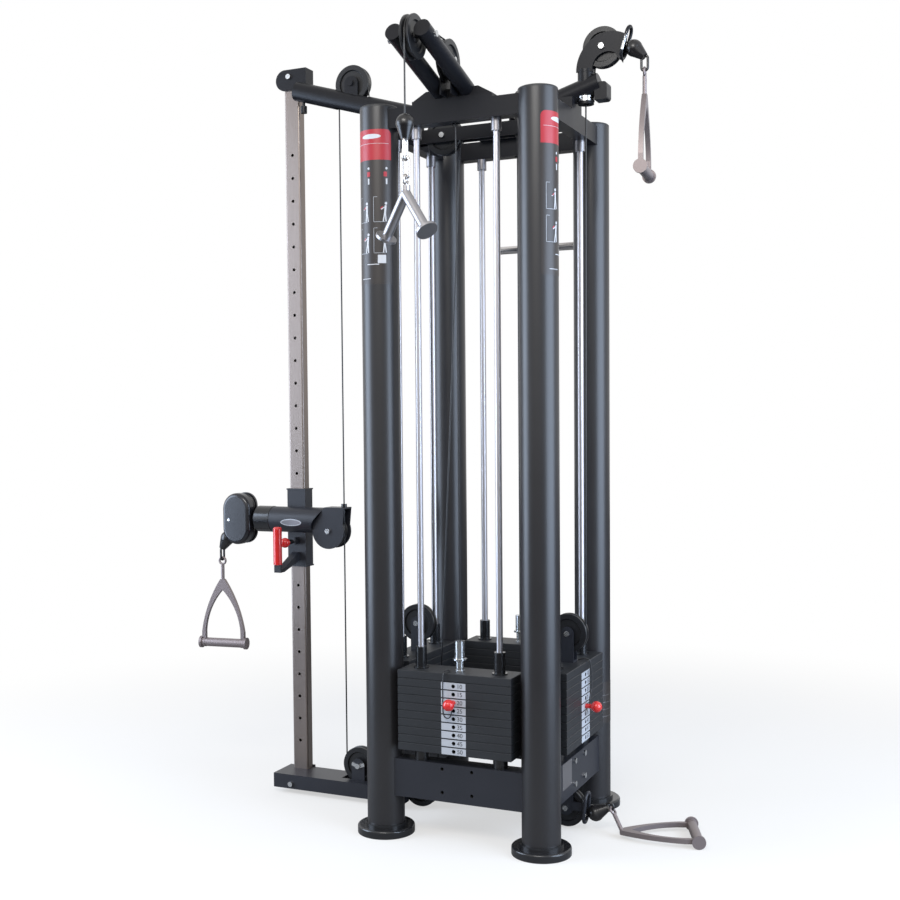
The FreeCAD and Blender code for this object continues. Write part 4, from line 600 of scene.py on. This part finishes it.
# %% Two cords as smooth curves
def tube_curve(name, points, radius, material):
    """A round curve through control points, smooth from end to end."""
    data = bpy.data.curves.new(name, "CURVE")
    data.dimensions = "3D"
    data.bevel_depth = radius
    data.bevel_resolution = 4
    data.resolution_u = 24
    line = data.splines.new("NURBS")
    line.points.add(len(points) - 1)
    for spot, point in zip(line.points, points):
        spot.co = (*point, 1)
    line.order_u = 3
    line.use_endpoint_u = True
    data.materials.append(material)
    curve = bpy.data.objects.new(name, data)
    scene.collection.objects.link(curve)
    return curve


for side, (length, points) in CORDS.items():
    route = [at(*turned(point, STATIONS[side])) for point in points]
    cord = tube_curve("pin_cord_" + side, route, CORD_R, cord_rubber)
    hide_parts("pin_lanyard_" + side)
    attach(cord, "lift_" + side)
print("two pin cords, 238 mm and 186 mm long")

# %% [markdown]
# ## Lifting cables
# A cable that lifts a stack is a copy of the CAD cable's own mesh, in its place, and the
# CAD node is hidden. The whole cable keeps its CAD shape. A start point is also worked
# out a little above the cable's lower end, where it goes round a floating pulley or into
# the stem.


# %% Lifting cables
def piece_from(name, mesh, material, smooth=True):
    """A scene object from a bmesh, with its finish."""
    data = bpy.data.meshes.new(name)
    bmesh.ops.recalc_face_normals(mesh, faces=mesh.faces[:])
    mesh.to_mesh(data)
    mesh.free()
    if smooth:
        data.shade_smooth()
        data.set_sharp_from_angle(angle=math.radians(35))
    data.materials.append(material)
    piece = bpy.data.objects.new(name, data)
    scene.collection.objects.link(piece)
    return piece


STIFF_END = {"front": 0.005, "right": 0.09, "rear": 0.005, "left": 0.09}
for side in STATIONS:
    node = "lift_cable_" + side
    cable = bpy.data.objects.new("moving_" + node, nodes[node].data.copy())
    scene.collection.objects.link(cable)
    low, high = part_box(node)
    middle = (low + high) / 2
    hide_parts(node)
    start = (middle.x, middle.y, low.z + STIFF_END[side])
    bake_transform(cable)
print("four lifting cables")

# %% [markdown]
# ## Pay-out cables
# The short run from each last pulley to its ball stop pays out when the handle is
# pulled. It is a laid rope under its coat, six strands that show as faint ridges, laid
# straight from one end to the other.

# %% Five pay-out cables
ROPE_R, RIDGE = 2.3, 0.06
ROPE_SIDES, STRANDS, TWIST, RING_STEP = 18, 6, 0.35, 3


def laid_cable(name, start, end):
    """A laid rope under its plastic coat, straight from start to end."""
    mesh = bmesh.new()
    along = (end - start).normalized()
    across = along.orthogonal().normalized()
    other = along.cross(across)
    rings = max(4, int((end - start).length * MM / RING_STEP))
    rows = []
    for i in range(rings + 1):
        centre = start.lerp(end, i / rings)
        row = []
        for k in range(ROPE_SIDES):
            turn = 2 * math.pi * k / ROPE_SIDES
            radius = (ROPE_R + RIDGE * math.cos(STRANDS * (turn - i * TWIST))) / MM
            spot = centre + across * radius * math.cos(turn)
            row.append(mesh.verts.new(spot + other * radius * math.sin(turn)))
        rows.append(row)
    for one, two in zip(rows, rows[1:]):
        for k in range(ROPE_SIDES):
            j = (k + 1) % ROPE_SIDES
            mesh.faces.new((one[k], one[j], two[j], two[k]))
    mesh.faces.new(rows[0])
    mesh.faces.new(rows[-1])
    piece = piece_from(name, mesh, cable_coat)
    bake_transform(piece)


PAYOUTS = {
    "payout_front": ((0, -624, 2402), (0, -624, 2176), "frame", "pull_front"),
    "payout_rear": ((0, 624, 2402), (0, 624, 2176), "frame", "pull_rear"),
    "payout_left": ((-1001.8, 0, 947.2), (-1031, 0, 900.4), "swivel_head", "pull_left"),
    "payout_high": ((423.9, 0, 2513.2), (478.1, 0, 2463.4), "right_head", "pull_high"),
    "payout_low": ((287.4, 0, 18.1), (348, 0, 52.1), "frame", "pull_low"),
}
for name, (start, end, fixed, moving) in PAYOUTS.items():
    laid_cable(name, at(*start), at(*end))
print(len(PAYOUTS), "pay-out cables")

# %% [markdown]
# ## Prints rolled onto a surface
# Every print is a thin solid cut from flat outlines in millimetres, sliced into narrow
# strips and then laid on its surface, so that it lies close to round steel. A surface
# is a function that takes a place across, up and out, and gives the point.


# %% Flat outlines
def corners(cx, cy, w, h, radii=(0, 0, 0, 0)):
    """A rectangle with four corner radii, from the lower left round to the upper left."""
    points = []
    for k, r in enumerate(radii):
        sx, sy = ((-1, -1), (1, -1), (1, 1), (-1, 1))[k]
        mx, my = cx + sx * (w / 2 - r), cy + sy * (h / 2 - r)
        for i in range(7 if r else 1):
            a = math.radians(180 + 90 * k + 15 * i)
            points.append((mx + r * math.cos(a), my + r * math.sin(a)))
    return points


def oval(cx, cy, w, h, steps=32):
    """An ellipse as a closed outline."""
    turns = [2 * math.pi * i / steps for i in range(steps)]
    return [(cx + w / 2 * math.cos(a), cy + h / 2 * math.sin(a)) for a in turns]


def stroke(x0, y0, x1, y1, width):
    """A bar of the given width from one point to another."""
    length = math.hypot(x1 - x0, y1 - y0)
    nx, ny = -(y1 - y0) / length * width / 2, (x1 - x0) / length * width / 2
    return [(x0 - nx, y0 - ny), (x1 - nx, y1 - ny), (x1 + nx, y1 + ny), (x0 + nx, y0 + ny)]


print("an oval has", len(oval(0, 0, 1, 1)), "corners")

# %% [markdown]
# An outline gets a back just under the surface and a face a little above it. The cuts
# run across it at even steps, and each strip then bends as one narrow flat.


# %% Outlines made solid and laid on
BACK = -0.15
ONE_STRIP = 500


def printed(name, shapes, surface, lift, material, slot, body, strip=5.0):
    """Flat outlines made into thin solids, cut into strips and laid on a surface."""
    mesh = bmesh.new()
    for shape in shapes:
        back = [mesh.verts.new((x, y, BACK)) for x, y in shape]
        face = [mesh.verts.new((x, y, lift)) for x, y in shape]
        mesh.faces.new(back[::-1])
        mesh.faces.new(face)
        for i in range(len(shape)):
            j = (i + 1) % len(shape)
            mesh.faces.new((back[i], back[j], face[j], face[i]))
    xs = [v.co.x for v in mesh.verts]
    cut = math.ceil(min(xs) / strip) * strip + 0.01
    while cut < max(xs):
        everything = mesh.verts[:] + mesh.edges[:] + mesh.faces[:]
        bmesh.ops.bisect_plane(
            mesh, geom=everything, plane_co=(cut, 0, 0), plane_no=(1, 0, 0), dist=0.001
        )
        cut += strip
    bmesh.ops.triangulate(mesh, faces=mesh.faces[:])
    for vertex in mesh.verts:
        vertex.co = at(*surface(*vertex.co))
    piece = piece_from(name, mesh, material)
    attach(piece, body)


print("a print reaches", -BACK, "mm under the surface")

# %% [markdown]
# Three kinds of surface carry prints: an upright round column, an upright flat face,
# and the round arm tube that lies along x.


# %% The surfaces that prints lie on
def round_column(x, y, facing, radius=COLUMN_R):
    """Surface of an upright round column: across is along the arc, seen from outside."""

    def surface(across, up, out):
        a = math.radians(facing) + across / radius
        return x + (radius + out) * math.cos(a), y + (radius + out) * math.sin(a), up

    return surface


def flat_face(x, y, z, facing):
    """Surface of an upright flat face about a point."""
    a = math.radians(facing)

    def surface(across, up, out):
        side_x, side_y = -across * math.sin(a), across * math.cos(a)
        return x + side_x + out * math.cos(a), y + side_y + out * math.sin(a), z + up

    return surface


def arm_tube(x, z, radius=45.0):
    """Surface of the arm tube that runs along x, seen from the front."""

    def surface(across, up, out):
        a = up / radius
        return x + across, -(radius + out) * math.cos(a), z + (radius + out) * math.sin(a)

    return surface


print("a column is", 2 * COLUMN_R, "mm thick")

# %% [markdown]
# ## Label sheets on the columns
# Each column carries one printed sheet: a red head with a plain white oval, and under
# it a dark field with small exercise pictograms. The pictograms are a plain design of
# bars and discs: standing figures beside the outline of a tower.

# %% Marks on a sheet
SHEET_W = 133.0
HEAD_LOW, HEAD_HIGH, SHEET_LOW = 2128.0, 2222.0, 1745.0
FIGURE_FEET = (1938, 1842)
FIGURE_PLACES = ((-16, 0.0), (42, 2.0))


def figure(cx, foot, lean=0.0):
    """A standing figure of bars with a disc for a head, about 62 mm tall."""
    hip, neck = (cx + lean, foot + 28), (cx + 2.2 * lean, foot + 50)
    return [
        stroke(cx - 4, foot, hip[0] - 1, hip[1], 3.6),
        stroke(cx + 5, foot, hip[0] + 1, hip[1], 3.6),
        stroke(*hip, *neck, 6.0),
        stroke(neck[0], neck[1] - 3, neck[0] - 15, neck[1] - 13, 2.8),
        oval(neck[0] + 0.4 * lean, neck[1] + 6, 8, 9, 16),
    ]


def tower_outline(centre, foot):
    """Three thin lines: a post, its head and the ground."""
    return [
        stroke(centre - 34, foot, centre - 34, foot + 76, 1.2),
        stroke(centre - 34, foot + 76, centre - 22, foot + 76, 1.2),
        stroke(centre - 34, foot - 1, centre + 2, foot - 1, 1.2),
    ]


white_marks = [
    oval(0, 2200, 66, 15),
    corners(0, 2178, 116, 0.9),
    corners(33, 1822, 26, 26, (2, 2, 2, 2)),
    corners(4, 1806, 40, 2.6),
    corners(-22, 1762, 36, 1.6),
]
red_marks = [corners(x, 2084, 11, 15, (2, 2, 2, 2)) for x in (-8, 46)]
rules = []
for centre, lean in FIGURE_PLACES:
    white_marks += [corners(centre + 8, 2062, 5, 18), oval(centre + 8, 2102, 7, 8, 16)]
    for foot, bend in zip(FIGURE_FEET, (lean, 2 - lean)):
        white_marks += figure(centre, foot, bend)
        red_marks.append(stroke(centre - 5, foot + 46, centre - 12, foot + 39, 3.4))
        rules += tower_outline(centre, foot)
print(len(white_marks), "white marks,", len(red_marks), "red marks and", len(rules), "rules")

# %% [markdown]
# The layers of a sheet lie at least a twentieth of a millimetre apart in height, so that
# none flickers through another: the field is lowest, the red marks are highest.

# %% Sheets on four columns
COLUMNS = {
    "front_left": (-COLUMN_AT, -COLUMN_AT, -90),
    "front_right": (COLUMN_AT, -COLUMN_AT, 0),
    "rear_right": (COLUMN_AT, COLUMN_AT, 90),
    "rear_left": (-COLUMN_AT, COLUMN_AT, 180),
}
head_middle, head_tall = (HEAD_LOW + HEAD_HIGH) / 2, HEAD_HIGH - HEAD_LOW
field_middle, field_tall = (SHEET_LOW + HEAD_LOW) / 2, HEAD_LOW - SHEET_LOW
red_head = corners(0, head_middle, SHEET_W, head_tall, (0, 0, 16, 16))
dark_field = corners(0, field_middle, SHEET_W, field_tall, (6, 6, 0, 0))
layers = (
    ("label_head_", [red_head], 0.30, label_red, "red_plastic"),
    ("label_field_", [dark_field], 0.25, label_dark, "column_finish"),
    ("label_white_", white_marks, 0.55, label_white, "column_finish"),
    ("label_red_", red_marks, 0.60, label_red, "red_plastic"),
    ("label_rules_", rules, 0.50, label_grey, "column_finish"),
)
for name, column in COLUMNS.items():
    skin = round_column(*column)
    for layer, shapes, lift, material, slot in layers:
        printed(layer + name, shapes, skin, lift, material, slot, "frame")
print("label sheets on", len(COLUMNS), "columns")

# %% [markdown]
# ## Weight labels
# A light strip on the front edge of each plate carries its number. The selector hole
# has to stay open, so each strip is cut as two halves with a half-round notch. The
# strips and numbers of the plates above the pin ride with the stack that is lifted.

# %% Outlines of strips and numbers
PLATE_PITCH, STACK_LOW, PLATES = 25.4, 286.0, 10
PLATE_HALF_T, PLATE_FACE = 12.5, -322
STRIP_W, STRIP_H, NOTCH_R = 82.0, 21.5, 6.2
NUMBER_X, NUMBER_SIZE, WEIGHT_STEP = 21, 19, 5
LIFTED = {"front": 4, "right": 6, "rear": 4, "left": 4}


def half_strip(side, middle):
    """Half of a strip, with a half-round notch at the selector hole."""
    edge, top = side * STRIP_W / 2, STRIP_H / 2
    points = [(0, -top), (edge, -top), (edge, top), (0, top)]
    for i in range(9):
        a = math.radians(90 - 180 * i / 8)
        points.append((side * NOTCH_R * math.cos(a), NOTCH_R * math.sin(a)))
    points = [(x, y + middle) for x, y in points]
    return points if side > 0 else points[::-1]


def numerals(text, x, middle, size):
    """Number glyphs as flat outlines, taken from the built-in font."""
    data = bpy.data.curves.new("numeral", "FONT")
    data.body = text
    data.size = size
    data.align_x = "CENTER"
    data.align_y = "CENTER"
    carrier = bpy.data.objects.new("numeral", data)
    scene.collection.objects.link(carrier)
    bpy.context.view_layer.update()
    flat = bpy.data.meshes.new_from_object(carrier)
    spots = [(v.co.x + x, v.co.y + middle) for v in flat.vertices]
    cells = [[spots[i] for i in f.vertices] for f in flat.polygons]
    bpy.data.objects.remove(carrier)
    bpy.data.curves.remove(data)
    bpy.data.meshes.remove(flat)
    return cells


print("a strip is", STRIP_W, "by", STRIP_H, "mm")

# %% [markdown]
# The numbers count down from the lowest plate, in steps of five. The top plate of a
# stack carries none. Glyphs come as flat cells, which are joined and thickened.


# %% Strips with numbers on the four stacks
def glyph_piece(name, cells, surface, lift, body):
    """Numbers as one thin solid: the flat cells joined, thickened and laid on."""
    mesh = bmesh.new()
    for cell in cells:
        mesh.faces.new([mesh.verts.new((x, y, 0.0)) for x, y in cell])
    bmesh.ops.remove_doubles(mesh, verts=mesh.verts[:], dist=0.001)
    grown = bmesh.ops.extrude_face_region(mesh, geom=mesh.faces[:])
    for item in grown["geom"]:
        if isinstance(item, bmesh.types.BMVert):
            item.co.z = lift
    for vertex in mesh.verts:
        vertex.co = at(*surface(*vertex.co))
    piece = piece_from(name, mesh, ink_black, smooth=False)
    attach(piece, body)


for side, angle in STATIONS.items():
    face = flat_face(*turned((0, PLATE_FACE, 0), angle), -90 + angle)
    first_lifted = PLATES - LIFTED[side]
    groups = {
        "lifted": ("lift_" + side, range(first_lifted, PLATES - 1)),
        "resting": ("frame", range(first_lifted)),
    }
    for group, (body, levels) in groups.items():
        strips, glyphs = [], []
        for level in levels:
            middle = STACK_LOW + level * PLATE_PITCH + PLATE_HALF_T
            strips += [half_strip(1, middle), half_strip(-1, middle)]
            weight = str(WEIGHT_STEP * (PLATES - level))
            glyphs += numerals(weight, NUMBER_X, middle, NUMBER_SIZE)
        tag = side + "_" + group
        printed(
            "weight_strips_" + tag, strips, face, 0.25, label_grey, "plate_finish", body, ONE_STRIP
        )
        glyph_piece("weight_numbers_" + tag, glyphs, face, 0.45, body)
print("weight labels from 10 to 50 on four stacks")

# %% [markdown]
# ## Small plates and badges
# A plain oval badge sits on the front of the outrigger's arm tube, a data plate with
# four rivets on the right-hand lower beam, and a dark label low on the rear right
# column. They are all left bare.

# %% Badge, data plate and low label
badge_skin = arm_tube(-740, 970)
badge = dict(surface=badge_skin, slot="cast_aluminium", body="carriage", strip=4)
printed("arm_badge", [oval(0, -7, 84, 25)], lift=0.8, material=label_grey, **badge)
printed("arm_badge_rim", [oval(0, -7, 76, 18)], lift=1.1, material=collar_steel, **badge)

data_face = flat_face(300, -124, 208, 0)
plate = dict(surface=data_face, slot="bar_chrome", body="frame", strip=ONE_STRIP)
plate_shape = corners(0, 0, 90, 82, (5, 5, 5, 5))
rivets = [oval(x, y, 5, 5, 16) for x in (-39, 39) for y in (-35, 35)]
printed("data_plate", [plate_shape], lift=0.8, material=collar_steel, **plate)
printed("data_plate_rivets", rivets, lift=1.5, material=zinc_steel, **plate)

low_skin = round_column(COLUMN_AT, COLUMN_AT, -18)
low = dict(surface=low_skin, slot="column_finish", body="frame")
low_shape = corners(0, 359, 76, 140, (6, 6, 6, 6))
low_rules = [corners(0, z, 60, 1.2) for z in (312, 336, 360, 384)]
printed("low_label", [low_shape], lift=0.3, material=label_dark, **low)
printed("low_label_rules", low_rules, lift=0.5, material=collar_steel, **low)
print("badge, data plate and low label")

# %% [markdown]
# ## Sleeve on the arm tube
# The swivelling head turns on a plastic sleeve at the tube's end. It is a short profile
# with two small chamfers, swept round the tube's axis.

# %% Arm sleeve
SLEEVE_SIDES, CHAMFER = 72, 1.0


def sleeve(name, x_start, x_end, z, inner, outer, material, body):
    """A thin sleeve round the arm tube, with a small chamfer at each end."""
    profile = [
        (x_start, inner),
        (x_start, outer - CHAMFER),
        (x_start + CHAMFER, outer),
        (x_end - CHAMFER, outer),
        (x_end, outer - CHAMFER),
        (x_end, inner),
    ]
    mesh = bmesh.new()
    rings = []
    for k in range(SLEEVE_SIDES):
        a = 2 * math.pi * k / SLEEVE_SIDES
        ring = [at(x, r * math.sin(a), z + r * math.cos(a)) for x, r in profile]
        rings.append([mesh.verts.new(point) for point in ring])
    for one, two in zip(rings, rings[1:] + rings[:1]):
        for i in range(len(profile)):
            j = (i + 1) % len(profile)
            mesh.faces.new((one[i], one[j], two[j], two[i]))
    piece = piece_from(name, mesh, material)
    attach(piece, body)


sleeve("arm_sleeve", -895, -833, 970, 44.5, 46.4, bush_plastic, "carriage")
print("sleeve on the arm tube")

# %% [markdown]
# ## Background
# The background is white, as in a studio. The white comes from what the camera, mirrors
# and glass see, never from more light on the object: every other ray sees a dim,
# slightly cool sky.

# %% World
SKY, SKY_STRENGTH = (0.9, 0.93, 1.0, 1), 0.45

scene.view_settings.view_transform = "Standard"
world = bpy.data.worlds.new("studio")
scene.world = world
world.use_nodes = True
tree = world.node_tree
link = tree.links.new
tree.nodes.clear()
path = add(tree, "LightPath")
seen = add(tree, "Math", operation="MAXIMUM")
link(path.outputs["Is Camera Ray"], seen.inputs[0])
link(path.outputs["Is Transmission Ray"], seen.inputs[1])
shown = add(tree, "Math", operation="MAXIMUM")
link(seen.outputs[0], shown.inputs[0])
link(path.outputs["Is Glossy Ray"], shown.inputs[1])
white = add(tree, "Background", {"Color": (1, 1, 1, 1), "Strength": 1.0})
dim = add(tree, "Background", {"Color": SKY, "Strength": SKY_STRENGTH})
mixed = add(tree, "MixShader")
link(shown.outputs[0], mixed.inputs[0])
link(dim.outputs[0], mixed.inputs[1])
link(white.outputs[0], mixed.inputs[2])
out = add(tree, "OutputWorld")
link(mixed.outputs[0], out.inputs["Surface"])
print("white background, dim sky")

# %% [markdown]
# ## Floor
# The floor is pale and keeps the machine's soft shadow. Part of it glows for the camera
# only, more with every step away from the tower, so that it fades into the white.

# %% Floor
FLOOR_REACH, FLOOR_DROP = 14.0, 0.0005
GLOW_NEAR, GLOW_FAR = 0.55, 1.0
FADE_START, FADE_END = 1.2, 3.4

floor_mesh = bpy.data.meshes.new("floor")
rim = [(x * FLOOR_REACH, y * FLOOR_REACH, 0) for x, y in ((-1, -1), (1, -1), (1, 1), (-1, 1))]
floor_mesh.from_pydata(rim, [], [(0, 1, 2, 3)])
floor = bpy.data.objects.new("floor", floor_mesh)
scene.collection.objects.link(floor)
floor.location.z = -FLOOR_DROP

pale = bpy.data.materials.new("pale_floor")
pale.use_nodes = True
tree = pale.node_tree
link = tree.links.new
body_shader = tree.nodes["Principled BSDF"]
body_shader.inputs["Base Color"].default_value = (0.82, 0.79, 0.74, 1)
body_shader.inputs["Roughness"].default_value = 0.9
path = add(tree, "LightPath")
glow = add(tree, "Emission", {"Color": (1, 1, 1, 1)})
link(path.outputs["Is Camera Ray"], glow.inputs["Strength"])
place = add(tree, "TexCoord")
away = add(tree, "VectorMath", {1: (TOWER.x, TOWER.y, 0)}, operation="DISTANCE")
link(place.outputs["Object"], away.inputs[0])
fade = add(
    tree,
    "MapRange",
    {"From Min": FADE_START, "From Max": FADE_END, "To Min": GLOW_NEAR, "To Max": GLOW_FAR},
    interpolation_type="SMOOTHSTEP",
)
link(away.outputs["Value"], fade.inputs["Value"])
share = add(tree, "MixShader")
link(fade.outputs["Result"], share.inputs[0])
link(body_shader.outputs[0], share.inputs[1])
link(glow.outputs[0], share.inputs[2])
link(share.outputs[0], tree.nodes["Material Output"].inputs["Surface"])
floor_mesh.materials.append(pale)
print("floor", 2 * FLOOR_REACH, "m wide")

# %% [markdown]
# ## Lamps
# Two tall, slightly blue soft lamps stand at the sides and give the round columns their
# long cool highlights. A weaker warm one hangs above the front.


# %% Three soft lamps
def softbox(name, place, target, width, height, power, colour):
    """A rectangular lamp at a place, turned to a target, both in millimetres."""
    data = bpy.data.lights.new(name, "AREA")
    data.shape = "RECTANGLE"
    data.size = width
    data.size_y = height
    data.energy = power
    data.color = colour
    lamp = bpy.data.objects.new(name, data)
    lamp.location = at(*place)
    aim = at(*target) - lamp.location
    lamp.rotation_euler = aim.to_track_quat("-Z", "Y").to_euler()
    scene.collection.objects.link(lamp)


WAIST, CHEST = (0, 0, 900), (0, 0, 1100)
softbox("left_softbox", (-3300, -1700, 1500), CHEST, 2.2, 3.4, 180, (0.66, 0.79, 1.0))
softbox("right_softbox", (3300, -500, 1500), CHEST, 2.8, 3.4, 210, (0.64, 0.78, 1.0))
softbox("front_softbox", (500, -3800, 3900), WAIST, 2.2, 1.4, 110, (1.0, 0.98, 0.95))
print("three lamps")

# %% [markdown]
# ## End

# %% Finish
print("scene finished")
